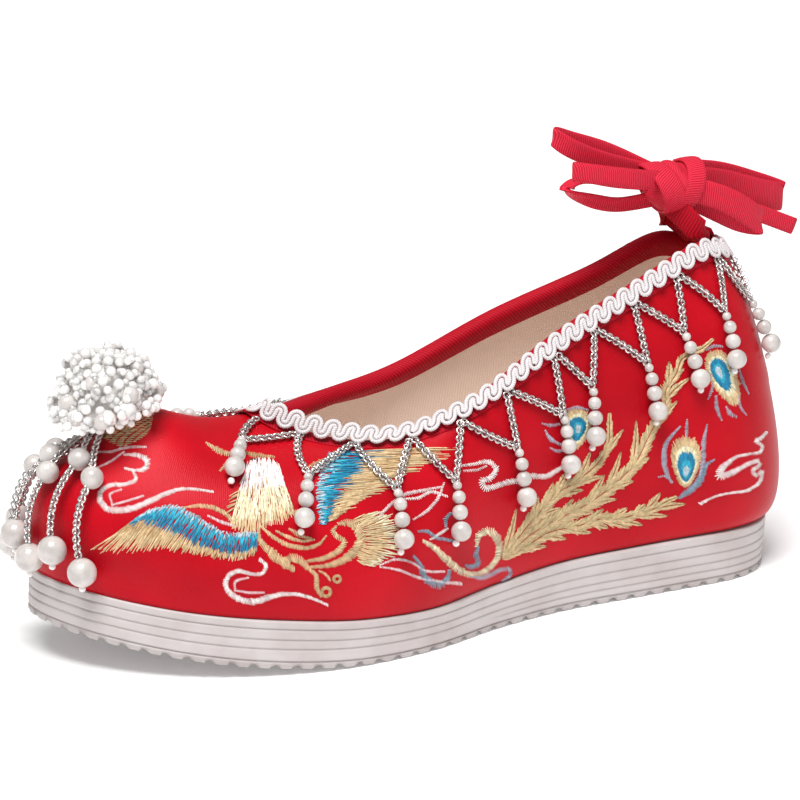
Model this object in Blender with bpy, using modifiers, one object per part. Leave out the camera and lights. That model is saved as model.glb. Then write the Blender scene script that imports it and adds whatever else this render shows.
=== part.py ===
"""Embroidered wedding shoe for the left foot: toe towards -X, outer side -Y, floor at Z = 0.

Sizes are millimetres. "along" is the distance from the heel's end of the sole.
"""
from collections import namedtuple
from functools import lru_cache

import bmesh
import bpy
import numpy as np
from mathutils import Matrix

for old in list(bpy.data.objects):
    bpy.data.objects.remove(old, do_unlink=True)

MM = 0.001
GAP = 0.3                 # clearance between neighbouring pieces
LENGTH = 245.0            # sole, heel end to toe tip
MIDDLE = LENGTH / 2
HALF_COLUMNS = 25         # columns from heel to toe on each side
RIB_ROWS = 10

# Plan of the sole
HEEL_ROUND = 30.0         # length of the rounded heel end
HEEL_POWER = 2.4
TOE_ROUND_OUTER = 85.0    # length of the rounded toe on the outer and inner side
TOE_ROUND_INNER = 75.0
SWING = 10.5              # how far the toe tip swings towards the inner side
SWING_START = 130.0
SPRING = 12.8             # lift of the toe tip off the floor
SPRING_START = 146.0

Sole = namedtuple("Sole", "along outer inner depth")
SOLE = (
    Sole(0, 29.3, 29.0, 16.6),
    Sole(30, 29.3, 29.0, 16.6),
    Sole(55, 29.5, 29.0, 16.5),
    Sole(85, 30.0, 27.5, 15.7),
    Sole(110, 34.6, 29.0, 14.1),
    Sole(135, 42.5, 35.0, 13.1),
    Sole(158, 45.8, 40.5, 14.0),
    Sole(185, 46.5, 42.0, 15.1),
    Sole(215, 46.5, 41.0, 14.9),
    Sole(245, 45.0, 38.0, 14.3),
)

# Grooves of the sole's side, as shares of its depth from the floor up
Groove = namedtuple("Groove", "name heel toe deep")
GROOVES = (
    Groove("tread", 0.13, 0.17, 1.0),
    Groove("heel_only", 0.29, 0.29, 0.7),
    Groove("middle", 0.45, 0.41, 0.7),
    Groove("high", 0.62, 0.61, 0.7),
    Groove("lip", 0.83, 0.83, 0.8),
)
GROOVE_HALF = 0.55        # half the mouth of a groove
HEEL_GROOVE_END = 118.0   # the heel-only groove runs out here
HEEL_GROOVE_FADE = 18.0
EDGE = 0.9                # chamfer at floor and top edges
TAPER_HEEL = -1.0         # how far the top edge stands in from the floor edge
TAPER_TOE = 0.6

# Upper: one row for every tenth of the way from heel to toe
SEAT = 1.2                # upper stands this far in from the sole's edge
WALL = 2.0
Rib = namedtuple("Rib", "rim_along rim_half rim_height inner_drop power swell")
RIBS = (
    Rib(14.2, 0.0, 102.4, 0.0, 1.30, 8.2),
    Rib(17.6, 8.0, 103.6, 1.8, 1.32, 7.6),
    Rib(28.5, 12.5, 105.6, 2.6, 1.42, 4.8),
    Rib(51.0, 14.6, 97.0, 2.7, 1.50, 2.6),
    Rib(83.0, 19.2, 85.2, 2.0, 1.60, 2.2),
    Rib(114.0, 23.3, 69.9, 0.3, 1.80, 2.0),
    Rib(136.5, 22.3, 62.3, -2.4, 2.00, 1.8),
    Rib(152.0, 16.8, 61.9, -1.2, 2.60, 1.8),
    Rib(163.0, 10.5, 64.4, 0.3, 3.20, 1.8),
    Rib(170.0, 5.0, 67.5, 0.6, 3.80, 1.5),
    Rib(172.5, 0.0, 68.6, 0.0, 4.00, 1.5),
)
SWELL_SKEW = 0.62         # under 1 keeps the swell low on the wall
RIM_TURN = 0.9            # share of a quarter turn that a rib makes up to the collar
PEAK_RISE = 9.0           # upturned toe
PEAK_ALONG = 211.0
PEAK_LONG = 15.0
PEAK_WIDE = 20.0

# Insole
FOOTBED = 3.0             # thickness under the ball
WEDGE = 22.0              # extra thickness under the heel
WEDGE_FRONT = 130.0
WEDGE_BACK = 45.0
INSOLE_ROWS = 3

# Tape and braid at the collar: a row for each corner of the section
Corner = namedtuple("Corner", "below out")
TAPE_CLEAR = 0.7          # from the wall's flats, outside and inside
TAPE_CLEAR_INSIDE = 0.6
BINDING = (
    Corner(5.0, TAPE_CLEAR),
    Corner(5.0, 1.7),
    Corner(0.4, 1.7),
    Corner(-2.0, -WALL / 2),
    Corner(0.4, -3.8),
    Corner(5.0, -3.7),
    Corner(5.0, -WALL - TAPE_CLEAR_INSIDE),
    Corner(-0.8, -WALL - 0.5),
    Corner(-0.8, TAPE_CLEAR),
)
GIMP = (
    Corner(6.4, 2.1),
    Corner(5.8, 3.4),
    Corner(0.6, 3.4),
    Corner(0.0, 2.1),
)
INNER_SINK = 2.4          # braid and fringe lie this much lower on the inner side

# Bead fringe: places round the collar where its chains are sewn on, by the rim's distance along the shoe
ANCHORS = (14.5, 22.8, 36.8, 52.3, 68.0, 82.6, 100.0, 116.4, 131.6, 147.5, 161.5, 170.7)
CHAIN_RADIUS = 0.9
CHAIN_TOP = 7.2           # start of the chains, under the braid
CHAIN_APART = 0.08        # share of the way between two anchors where the chains start
# Where the two chains of a drop meet: share of the way to the next anchor and fall square to the collar;
# lean to the heel of the string that hangs there
Drop = namedtuple("Drop", "share fall lean")
DROPS = (
    Drop(0.3, 13.0, 0.0),
    Drop(0.4, 15.0, 0.0),
    Drop(0.45, 14.0, 0.2),
    Drop(0.35, 16.0, 0.07),
    Drop(0.6, 13.0, -0.1),
    Drop(0.4, 15.0, 0.0),
    Drop(0.3, 14.0, 0.0),
    Drop(0.5, 14.0, -0.2),
    Drop(0.35, 14.0, -0.15),
    Drop(0.6, 16.0, -0.3),
    Drop(0.9, 11.0, -0.3),
)
DROP_BEADS = (1.5, 2.2, 2.6, 3.35)
DROP_CLEAR = 0.5          # from the wall

# Bead cluster on the toe and the strands that hang from it
POMPOM_ALONG = 221.0
POMPOM_ACROSS = 7.0
POMPOM_HEIGHT = 80.8
POMPOM_CORE = (14.0, 14.0, 11.0)
POMPOM_PEARLS = 11
POMPOM_PEARL = 4.3
POMPOM_LOWEST = -0.35     # share of the core's half height where the pearls end
Strand = namedtuple("Strand", "top_ring middle_ring end_ring top middle end")
STRANDS = (
    Strand(0.994, 0.909, 0.880, 43.5, 31.0, 8.0),
    Strand(1.023, 0.953, 0.924, 47.5, 36.0, 12.0),
    Strand(1.049, 0.985, 0.970, 47.0, 30.0, 7.0),
    Strand(1.076, 1.026, 1.014, 46.0, 34.8, 11.8),
    Strand(1.103, 1.062, 1.060, 45.0, 29.0, 7.0),
    Strand(1.140, 1.112, 1.108, 44.0, 34.0, 12.0),
)
STRAND_CHAIN = 1.1
STRAND_MIDDLE = 3.5
STRAND_END = 4.5

# Loop of tape at the heel: outer and inner face of its arch, a row for each corner
ARCH_OUTSIDE = (Corner(-2.3, 1.0), Corner(-5.6, 1.4), Corner(-7.6, -1.0), Corner(-5.6, -3.4), Corner(-2.3, -3.0))
ARCH_INSIDE = (Corner(-2.3, 0.0), Corner(-5.2, 0.4), Corner(-6.4, -1.0), Corner(-5.2, -2.4), Corner(-2.3, -2.0))
ARCH_HALF = 0.07          # reach round the collar to each side
ARCH_COLUMNS = 7

# Ribbon bow: a row for each bend, from the knot's middle in millimetres, turn in degrees about the ribbon
KNOT = (28.0, 2.0, 122.0)
KNOT_RADII = (9.5, 7.5, 7.5)
RIBBON_THICK = 1.0
RIBBON_SPAN_STEPS = 2
Bend = namedtuple("Bend", "along across up turn")
Ribbon = namedtuple("Ribbon", "name width bends")
RIBBONS = (
    Ribbon("bow_loop_high", 6.0, (
        Bend(-3.0, 4.0, 3.0, 0), Bend(-17.5, 10.0, 10.7, 0), Bend(-30.0, 11.0, 15.5, 0), Bend(-37.5, 8.5, 18.3, 0),
        Bend(-33.0, 5.5, 14.5, 0), Bend(-22.0, 4.2, 9.5, 0), Bend(-4.0, 2.0, 3.5, 0))),
    Ribbon("bow_loop_front", 6.2, (
        Bend(-3.0, -4.0, 2.5, 0), Bend(-20.0, -7.0, 6.5, 0), Bend(-32.0, -6.0, 9.0, 0), Bend(-37.0, -3.0, 9.6, 0),
        Bend(-31.0, -1.2, 8.0, 0), Bend(-20.0, -1.0, 5.0, 0), Bend(-4.0, -0.5, 2.0, 0))),
    Ribbon("bow_loop_low", 5.6, (
        Bend(-4.0, 3.0, 0.2, 90), Bend(-20.0, 4.0, 2.6, 90), Bend(-31.0, 4.2, 4.4, 90), Bend(-35.5, 4.0, 2.4, 90),
        Bend(-31.0, 3.2, -0.6, 90), Bend(-19.0, 2.2, -4.2, 90), Bend(-4.0, 1.0, -3.6, 90))),
    Ribbon("bow_loop_back", 7.0, (
        Bend(3.0, 5.0, 2.5, 0), Bend(22.0, 10.0, -1.5, 0), Bend(37.0, 10.5, -6.8, 0), Bend(45.5, 8.0, -10.4, 0),
        Bend(36.0, 5.2, -7.8, 0), Bend(20.0, 4.5, -2.5, 0), Bend(4.0, 3.0, 1.0, 0))),
    Ribbon("bow_loop_near", 7.5, (
        Bend(2.0, -5.0, 0.5, 0), Bend(14.0, -9.0, -4.0, 0), Bend(23.0, -9.2, -9.5, 0), Bend(28.0, -7.0, -13.5, 0),
        Bend(23.0, -4.6, -12.6, 0), Bend(14.0, -4.0, -8.0, 0), Bend(4.0, -1.5, -2.5, 0))),
    Ribbon("bow_end", 5.2, (
        Bend(4.0, 0.5, -2.0, 0), Bend(18.0, 0.6, -7.0, 0), Bend(31.0, 0.5, -12.2, 0), Bend(45.5, 0.0, -18.6, 0))),
)
LEG_WIDTH = 7.0
LEG_PINCH = 2.5           # width where the loop gathers the ribbon
LEG_LEVEL = -4.0          # ribbon's middle in the heel loop, above the collar's edge
LEG_RISE = (Bend(4.0, -9.0, -12.5, 0), Bend(-2.0, -3.5, -5.0, 0))

Look = namedtuple("Look", "name colour roughness metallic")
RUBBER = Look("pale_rubber", (0.68, 0.64, 0.63), 0.6, 0.0)
SATIN = Look("red_satin", (0.55, 0.012, 0.022), 0.4, 0.0)
LINEN = Look("linen_lining", (0.70, 0.60, 0.46), 0.9, 0.0)
TWILL = Look("red_twill_tape", (0.40, 0.008, 0.016), 0.6, 0.0)
BRAID = Look("white_braid", (0.82, 0.80, 0.80), 0.5, 0.0)
BEADS = Look("pearl_and_chain", (0.80, 0.78, 0.74), 0.25, 0.0)

parts = bpy.data.collections.new("embroidered_wedding_shoe")
bpy.context.scene.collection.children.link(parts)
cutters = bpy.data.collections.new("cutters")
bpy.context.scene.collection.children.link(cutters)


def material(look):
    """Give the one material of a look, made at its first use."""
    found = bpy.data.materials.get(look.name)
    if found:
        return found
    made = bpy.data.materials.new(look.name)
    made.use_nodes = True
    shader = made.node_tree.nodes["Principled BSDF"]
    shader.inputs["Base Color"].default_value = (*look.colour, 1.0)
    shader.inputs["Roughness"].default_value = look.roughness
    shader.inputs["Metallic"].default_value = look.metallic
    return made


def spline(at, knots, values):
    """Read a table at any place with a smooth cubic through its rows."""
    knots = np.asarray(knots, float)
    values = np.asarray(values, float)
    slopes = np.gradient(values, knots)
    low = np.clip(np.searchsorted(knots, at) - 1, 0, len(knots) - 2)
    step = knots[low + 1] - knots[low]
    u = (at - knots[low]) / step
    start = (2 * u**3 - 3 * u**2 + 1) * values[low] + (u**3 - 2 * u**2 + u) * step * slopes[low]
    end = (3 * u**2 - 2 * u**3) * values[low + 1] + (u**3 - u**2) * step * slopes[low + 1]
    return start + end


def ease(x):
    """Smooth step from 0 to 1."""
    x = np.clip(x, 0.0, 1.0)
    return x * x * (3 - 2 * x)


def rib(q, column):
    """Read a column of the rib table, mirrored past heel and toe so that it runs on smoothly there."""
    values = np.array([getattr(row, column) for row in RIBS])
    sign = -1.0 if column == "rim_half" else 1.0
    values = np.concatenate([[sign * values[1]], values, [sign * values[-2]]])
    knots = np.linspace(-0.1, 1.1, len(values))
    return spline(q, knots, values)


def swing(along):
    return SWING * np.clip((along - SWING_START) / (LENGTH - SWING_START), 0, None) ** 2


def lift(along):
    return SPRING * np.clip((along - SPRING_START) / (LENGTH - SPRING_START), 0, None) ** 2


def depth(along):
    return spline(along, [row.along for row in SOLE], [row.depth for row in SOLE])


def outline(ring, inset):
    """Plan of the sole at places round it: 0 heel, 1 toe over the outer side, 2 heel again over the inner."""
    q = np.where(ring <= 1, ring, 2 - ring)
    side = np.where(ring <= 1, -1.0, 1.0)
    full = LENGTH * (1 - np.cos(np.pi * q)) / 2
    along = inset + full * (LENGTH - 2 * inset) / LENGTH
    knots = [row.along for row in SOLE]
    outer = spline(full, knots, [row.outer for row in SOLE])
    inner = spline(full, knots, [row.inner for row in SOLE])
    half = np.where(side < 0, outer, inner) - inset
    toe_round = np.where(side < 0, TOE_ROUND_OUTER, TOE_ROUND_INNER)
    back = np.clip(1 - full / HEEL_ROUND, 0, 1)
    front = np.clip(1 - (LENGTH - full) / toe_round, 0, 1)
    half = half * (1 - back**HEEL_POWER) ** (1 / HEEL_POWER) * np.sqrt(1 - front**2)
    return along, swing(along) + side * half


def outward(ring):
    """Outward direction of the plan at places round it."""
    step = 0.004
    ahead = outline((ring + step) % 2, 0.0)
    behind = outline((ring - step) % 2, 0.0)
    run_along = ahead[0] - behind[0]
    run_across = ahead[1] - behind[1]
    size = np.hypot(run_along, run_across)
    return run_across / size, -run_along / size


def seat_height(along):
    return lift(along) + depth(along)


def rib_curve(ring, turn):
    """Outer face of the upper in metres: ring goes round it, turn from 0 at the sole to 1 at the collar."""
    q = np.where(ring <= 1, ring, 2 - ring)
    side = np.where(ring <= 1, -1.0, 1.0)
    base_along, base_across = outline(ring, SEAT)
    base_height = seat_height(base_along) + GAP
    rim_along = rib(q, "rim_along")
    rim_across = side * rib(q, "rim_half") + swing(rim_along)
    power = 2 / rib(q, "power")
    last = RIM_TURN * np.pi / 2
    rest = np.cos(last) ** power
    run = (np.cos(turn * last) ** power - rest) / (1 - rest)
    rise = (np.sin(turn * last) / np.sin(last)) ** power
    out_along, out_across = outward(ring)
    swell = rib(q, "swell") * np.sin(np.pi * turn**SWELL_SKEW)
    along = rim_along + (base_along - rim_along) * run + out_along * swell
    across = rim_across + (base_across - rim_across) * run + out_across * swell
    rim_height = rib(q, "rim_height") - np.where(side > 0, rib(q, "inner_drop"), 0.0)
    height = base_height + (rim_height - base_height) * rise
    near_peak = ((along - PEAK_ALONG) / PEAK_LONG) ** 2 + ((across - swing(along)) / PEAK_WIDE) ** 2
    height = height + PEAK_RISE * np.exp(-near_peak) * rise**2
    return np.stack([MIDDLE - along, across, height], axis=-1) * MM


@lru_cache(maxsize=None)
def rib_runs(place):
    """Length along one rib from the sole up, at even steps of its turn."""
    turns = np.linspace(0, 1, 241)
    column = rib_curve(np.full_like(turns, place), turns)
    steps = np.linalg.norm(np.diff(column, axis=0), axis=1)
    return turns, np.concatenate([[0.0], np.cumsum(steps)])


def shell(ring, t):
    """Outer face of the upper with t as the share of the rib's length, so that rows are evenly spaced."""
    ring, t = np.broadcast_arrays(np.asarray(ring, float) % 2, np.asarray(t, float))
    turn = []
    for place, share in zip(ring.ravel(), t.ravel()):
        turns, runs = rib_runs(place)
        turn.append(np.interp(share * runs[-1], runs, turns))
    return rib_curve(ring, np.array(turn).reshape(ring.shape))


def rib_length(ring):
    """Length of each rib in millimetres."""
    return np.array([rib_runs(place)[1][-1] / MM for place in np.atleast_1d(ring) % 2])


def shell_normal(ring, t):
    """Outward unit normal of the upper's outer face."""
    step = 0.01
    round_it = shell((ring + step) % 2, t) - shell((ring - step) % 2, t)
    up = shell(ring, np.minimum(t + step, 1.0)) - shell(ring, np.maximum(t - step, 0.0))
    normal = np.cross(up, round_it)
    return normal / np.linalg.norm(normal, axis=-1, keepdims=True)


def node(name, vertices, faces, look):
    """Make one named object of the part from its vertices and faces."""
    mesh = bpy.data.meshes.new(name)
    mesh.from_pydata([tuple(map(float, v)) for v in vertices], [], faces)
    mesh.validate()
    made = bpy.data.objects.new(name, mesh)
    parts.objects.link(made)
    made.data.materials.append(material(look))
    edit = bmesh.new()
    edit.from_mesh(mesh)
    bmesh.ops.recalc_face_normals(edit, faces=edit.faces)
    edit.to_mesh(mesh)
    edit.free()
    return made


RING = np.linspace(0, 2, 2 * HALF_COLUMNS, endpoint=False)


def ring_walls(rows, columns, close_section=False):
    """Quads between neighbouring rows of points, each row running once round the shoe."""
    faces = []
    for r in range(rows if close_section else rows - 1):
        above = (r + 1) % rows
        for c in range(columns):
            d = (c + 1) % columns
            faces.append((r * columns + c, r * columns + d, above * columns + d, above * columns + c))
    return faces


def ladder(first):
    """Cap a row of points with rungs between its outer and inner side."""
    n = 2 * HALF_COLUMNS
    faces = [(first, first + 1, first + n - 1)]
    for c in range(1, HALF_COLUMNS - 1):
        faces.append((first + c, first + c + 1, first + n - c - 1, first + n - c))
    faces.append((first + HALF_COLUMNS - 1, first + HALF_COLUMNS, first + HALF_COLUMNS + 1))
    return faces


def stacked_solid(name, rows, look):
    """Close a stack of rows into a solid with a ladder cap at each end."""
    count = 2 * HALF_COLUMNS
    faces = ring_walls(len(rows), count)
    faces += ladder(0)
    faces += ladder((len(rows) - 1) * count)
    return node(name, np.concatenate(rows), faces, look)


def build_outsole():
    along, _ = outline(RING, 0.0)
    toward_toe = along / LENGTH
    deep = depth(along)
    heel_share = ease((HEEL_GROOVE_END - along) / HEEL_GROOVE_FADE)
    levels = [(0.0 * along, EDGE + 0.0 * along), (EDGE / deep, 0.0 * along)]
    for groove in GROOVES:
        centre = groove.heel + (groove.toe - groove.heel) * toward_toe
        cut = groove.deep * (heel_share if groove.name == "heel_only" else 1.0) + 0.0 * along
        mouth = GROOVE_HALF / deep
        levels += [(centre - mouth, 0.0 * along), (centre, cut), (centre + mouth, 0.0 * along)]
    levels += [(1 - EDGE / deep, 0.0 * along), (1 + 0.0 * along, 0.5 * EDGE + 0.0 * along)]
    taper = TAPER_HEEL + (TAPER_TOE - TAPER_HEEL) * toward_toe
    rows = []
    for share, cut in levels:
        place, across = outline(RING, 0.0)
        out_along, out_across = outward(RING)
        inset = cut + taper * share
        height = lift(along) + share * deep
        point = [MIDDLE - (place - out_along * inset), across - out_across * inset, height]
        rows.append(np.stack(point, axis=-1) * MM)
    return stacked_solid("outsole", rows, RUBBER)


def build_upper():
    heights = np.linspace(0, 1, RIB_ROWS + 1)
    rows = [shell(RING, np.full_like(RING, t)) for t in heights]
    made = node("upper", np.concatenate(rows), ring_walls(len(rows), len(RING)), SATIN)
    wall = made.modifiers.new("wall", "SOLIDIFY")
    wall.thickness = WALL * MM
    wall.offset = -1.0
    wall.use_even_offset = True
    return made


def shell_inside(ring, height, clear):
    """Points on the upper's inner face at given heights, moved in by a clearance."""
    steps = np.linspace(0, 0.9, 181)
    found = []
    for place, level in zip(ring, height):
        column = rib_curve(np.full_like(steps, place), steps)
        point = [np.interp(level * MM, column[:, 2], column[:, axis]) for axis in (0, 1)]
        out_along, out_across = outward(np.array([place]))
        move = (WALL + clear) * MM
        found.append((point[0] + out_along[0] * move, point[1] - out_across[0] * move, level * MM))
    return np.array(found)


def build_insole():
    along, _ = outline(RING, SEAT)
    floor = seat_height(along) + GAP
    thick = FOOTBED + WEDGE * ease((WEDGE_FRONT - along) / (WEDGE_FRONT - WEDGE_BACK))
    rows = []
    for share in np.linspace(0, 1, INSOLE_ROWS):
        rows.append(shell_inside(RING, floor + share * thick, 2 * GAP))
    return stacked_solid("insole", rows, LINEN)


def on_wall(ring, below, out):
    """Place on the upper, below the collar's edge along its rib and out from its face."""
    ring = np.atleast_1d(ring) % 2
    t = 1 - below / rib_length(ring)
    return shell(ring, t) + shell_normal(ring, t) * out * MM


def sink(ring):
    """How much lower the braid and its fringe lie, at places round the collar."""
    return INNER_SINK * np.sin(np.pi * np.clip(np.atleast_1d(ring) % 2 - 1, 0, 1))


def collar_section(ring, corner, lower=0.0):
    """A corner of a section at the collar, laid to the flats between the upper's two highest rows."""
    ring = np.atleast_1d(ring) % 2
    edge = shell(ring, 1.0)
    up = edge - shell(ring, 1 - 1 / RIB_ROWS)
    up = up / np.linalg.norm(up, axis=-1, keepdims=True)
    step = 1 / HALF_COLUMNS
    round_it = shell((ring + step) % 2, 1.0) - shell((ring - step) % 2, 1.0)
    out = np.cross(up, round_it)
    out = out / np.linalg.norm(out, axis=-1, keepdims=True)
    below = corner.below + np.reshape(lower, (-1, 1))
    return edge + (out * corner.out - up * below) * MM


def build_collar_band(name, section, lower, look):
    rows = [collar_section(RING, corner, lower) for corner in section]
    return node(name, np.concatenate(rows), ring_walls(len(rows), len(RING), True), look)


def tube(points, radii, roundness):
    """Mesh of a tube along points, with a radius at each."""
    curve = bpy.data.curves.new("path", "CURVE")
    curve.dimensions = "3D"
    curve.bevel_depth = MM
    curve.bevel_resolution = roundness
    curve.use_fill_caps = True
    line = curve.splines.new("POLY")
    line.points.add(len(points) - 1)
    for knot, point, radius in zip(line.points, points, radii):
        knot.co = (*map(float, point), 1.0)
        knot.radius = float(radius)
    holder = bpy.data.objects.new("path", curve)
    mesh = bpy.data.meshes.new_from_object(holder)
    bpy.data.objects.remove(holder)
    return cleaned(mesh)


def cleaned(mesh):
    """Join doubled corners of a mesh and turn its faces outward."""
    edit = bmesh.new()
    edit.from_mesh(mesh)
    bmesh.ops.remove_doubles(edit, verts=edit.verts, dist=1e-7)
    bmesh.ops.recalc_face_normals(edit, faces=edit.faces)
    edit.to_mesh(mesh)
    edit.free()
    return mesh


def ball(centre, radii, detail):
    """Mesh of an ellipsoid."""
    mesh = bpy.data.meshes.new("ball")
    edit = bmesh.new()
    place = Matrix.Translation(centre) @ Matrix.Diagonal((*radii, 1.0))
    bmesh.ops.create_icosphere(edit, subdivisions=detail, radius=1.0, matrix=place)
    edit.to_mesh(mesh)
    edit.free()
    return mesh


def combined(name, first, others, look, operation="UNION"):
    """Join meshes into one solid, or cut the others from the first, and keep it as a node."""
    held = []
    for mesh in [first, *others]:
        piece = bpy.data.objects.new("piece", mesh)
        cutters.objects.link(piece)
        held.append(piece)
    for other in held[1:]:
        step = held[0].modifiers.new("step", "BOOLEAN")
        step.operation = operation
        step.solver = "EXACT"
        step.object = other
    graph = bpy.context.evaluated_depsgraph_get()
    mesh = bpy.data.meshes.new_from_object(held[0].evaluated_get(graph), depsgraph=graph)
    for piece in held:
        bpy.data.objects.remove(piece)
    mesh.materials.clear()
    made = bpy.data.objects.new(name, mesh)
    parts.objects.link(made)
    made.data.materials.append(material(look))
    return made


def bead_run(radii, start):
    """Places along a string of touching beads, with the radius of the string there."""
    places = []
    sizes = []
    at = start
    for radius in radii:
        for share, width in ((-0.8, 0.6), (0.0, 1.0), (0.8, 0.6)):
            places.append(at + radius + share * radius)
            sizes.append(width * radius)
        at += 2 * radius
    return np.array(places), np.array(sizes)


def walk(ring, t, heading, length):
    """Places at each millimetre of a walk over the upper that keeps to a heading as near as its face allows."""
    places = [(ring, t)]
    for _ in range(int(np.ceil(length)) + 1):
        round_it = (shell(ring + 0.004, t) - shell(ring - 0.004, t)) / 0.008
        up = (shell(ring, t + 0.01) - shell(ring, t - 0.01)) / 0.02
        normal = np.cross(up, round_it)
        normal = normal / np.linalg.norm(normal)
        course = heading - normal * (heading @ normal)
        course = course / np.linalg.norm(course) * MM
        step = np.linalg.lstsq(np.stack([round_it, up], axis=1), course, rcond=None)[0]
        ring = ring + step[0]
        t = t + step[1]
        places.append((ring, t))
    return np.array(places)


def off_wall(places, at, out):
    """Points at lengths along a walk, out from the upper's face."""
    ring = np.interp(at, np.arange(len(places)), places[:, 0])
    t = np.interp(at, np.arange(len(places)), places[:, 1])
    return shell(ring, t) + shell_normal(ring % 2, t) * np.reshape(out, (-1, 1)) * MM


def build_drop(name, first, last, drop):
    """One vee of chain between two anchors with its string of pearls, which hangs straight down the wall."""
    middle = first + (last - first) * drop.share
    ends = np.array([first + (last - first) * CHAIN_APART, last + (first - last) * CHAIN_APART])
    heights = 1 - (CHAIN_TOP + sink(ends)) / rib_length(ends)
    start = 1 - (CHAIN_TOP + sink(middle)[0]) / rib_length(middle)[0]
    along = np.diff(shell(ends, heights), axis=0)[0]
    down = np.cross(along, shell_normal(np.array([middle % 2]), np.array([start]))[0])
    down = down * np.sign(shell(middle, start - 0.05) @ down - shell(middle, start) @ down)
    course = walk(middle, start, down / np.linalg.norm(down), drop.fall)
    apex = [np.interp(drop.fall, np.arange(len(course)), column) for column in course.T]
    share = np.array([0.0, 0.5, 1.0, 0.5, 0.0])
    side = np.array([0, 0, 0, 1, 1])
    ring = ends[side] * (1 - share) + apex[0] * share
    t = heights[side] * (1 - share) + apex[1] * share
    path = shell(ring, t) + shell_normal(ring % 2, t) * (CHAIN_RADIUS + DROP_CLEAR) * MM
    chain = tube(path, np.full(5, CHAIN_RADIUS), 0)
    places, sizes = bead_run(DROP_BEADS, 0.0)
    fall = walk(apex[0], apex[1], np.array([drop.lean, 0.0, -1.0]), places[-1])
    outs = np.interp(places, places[1::3], np.array(DROP_BEADS)) + DROP_CLEAR
    return combined(name, tube(off_wall(fall, places, outs), sizes, 1), [chain], BEADS)


def build_fringe():
    q = np.linspace(0, 1, 401)
    stations = np.interp(ANCHORS, rib(q, "rim_along"), q)
    for number, (back, front, drop) in enumerate(zip(stations[:-1], stations[1:], DROPS), 1):
        build_drop(f"fringe_outer_{number:02d}", back, front, drop)
        build_drop(f"fringe_inner_{number:02d}", 2 - back, 2 - front, drop)


def grown_upper():
    """Thick copy of the upper that stands out by the gap, to cut what is seated on it."""
    rows = [shell(RING, np.full_like(RING, t)) for t in np.linspace(0, 1, RIB_ROWS + 1)]
    made = node("grown", np.concatenate(rows), ring_walls(len(rows), len(RING)), SATIN)
    wall = made.modifiers.new("wall", "SOLIDIFY")
    wall.thickness = 9.0 * MM
    wall.offset = -1 + 2 * GAP / 9.0
    wall.use_even_offset = True
    graph = bpy.context.evaluated_depsgraph_get()
    mesh = bpy.data.meshes.new_from_object(made.evaluated_get(graph), depsgraph=graph)
    bpy.data.objects.remove(made)
    return mesh


def build_pompom():
    centre = np.array([MIDDLE - POMPOM_ALONG, POMPOM_ACROSS, POMPOM_HEIGHT]) * MM
    core = np.array(POMPOM_CORE) * MM
    pearls = []
    for number in range(POMPOM_PEARLS):
        level = 1 - (1 - POMPOM_LOWEST) * (number + 0.5) / POMPOM_PEARLS
        angle = number * np.pi * (3 - np.sqrt(5))
        flat = np.sqrt(1 - level**2)
        spot = centre + core * np.array([flat * np.cos(angle), flat * np.sin(angle), level])
        pearls.append(ball(spot, [POMPOM_PEARL * MM] * 3, 2))
    made = combined("pompom_rough", ball(centre, core, 2), pearls, BEADS)
    seated = combined("pompom", made.data.copy(), [grown_upper()], BEADS, "DIFFERENCE")
    bpy.data.objects.remove(made)
    return seated


def build_strands():
    for number, strand in enumerate(STRANDS, 1):
        radii = (STRAND_END, STRAND_MIDDLE)
        places = [strand.end - 0.9 * STRAND_END]
        sizes = [0.4 * STRAND_END]
        for place, radius in ((strand.end, STRAND_END), (strand.middle, STRAND_MIDDLE)):
            places += [place - 0.55 * radius, place + 0.55 * radius, place + 0.95 * radius]
            sizes += [0.92 * radius, 0.92 * radius, STRAND_CHAIN]
            if radius == STRAND_END:
                places.append(strand.middle - 0.95 * STRAND_MIDDLE)
                sizes.append(STRAND_CHAIN)
        places.append(strand.top)
        sizes.append(STRAND_CHAIN)
        length = rib_length(strand.end_ring)[0]
        stops = [strand.end, strand.middle, strand.top]
        outs = np.interp(places, stops, [*radii, STRAND_CHAIN]) + DROP_CLEAR
        rings = np.interp(places, stops, [strand.end_ring, strand.middle_ring, strand.top_ring])
        path = [on_wall(ring, length - place, out)[0] for ring, place, out in zip(rings, places, outs)]
        made = node(f"tassel_strand_{number}", [], [], BEADS)
        made.data = tube(path, sizes, 1)
        made.data.materials.append(material(BEADS))


def build_heel_loop():
    ring = np.linspace(-ARCH_HALF, ARCH_HALF, ARCH_COLUMNS)
    corners = [*ARCH_OUTSIDE, *reversed(ARCH_INSIDE)]
    count = len(corners)
    points = np.stack([collar_section(ring, corner) for corner in corners], axis=1)
    faces = []
    for column in range(ARCH_COLUMNS - 1):
        for corner in range(count):
            after = (corner + 1) % count
            here = column * count
            faces.append((here + corner, here + after, here + count + after, here + count + corner))
    for end in (0, (ARCH_COLUMNS - 1) * count):
        for corner in range(len(ARCH_OUTSIDE) - 1):
            faces.append((end + corner, end + corner + 1, end + count - 2 - corner, end + count - 1 - corner))
    return node("heel_loop", points.reshape(-1, 3), faces, TWILL)


def knot_mesh(grow):
    centre = np.array([MIDDLE - KNOT[0], KNOT[1], KNOT[2]]) * MM
    return ball(centre, (np.array(KNOT_RADII) + grow) * MM, 3)


def smooth_path(rows, steps):
    """Points of a smooth curve through rows, with the given steps in each span."""
    rows = np.asarray(rows, float)
    knots = np.arange(len(rows))
    fine = np.linspace(0, len(rows) - 1, (len(rows) - 1) * steps + 1)
    return np.stack([spline(fine, knots, rows[:, column]) for column in range(rows.shape[1])], axis=-1)


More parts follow.
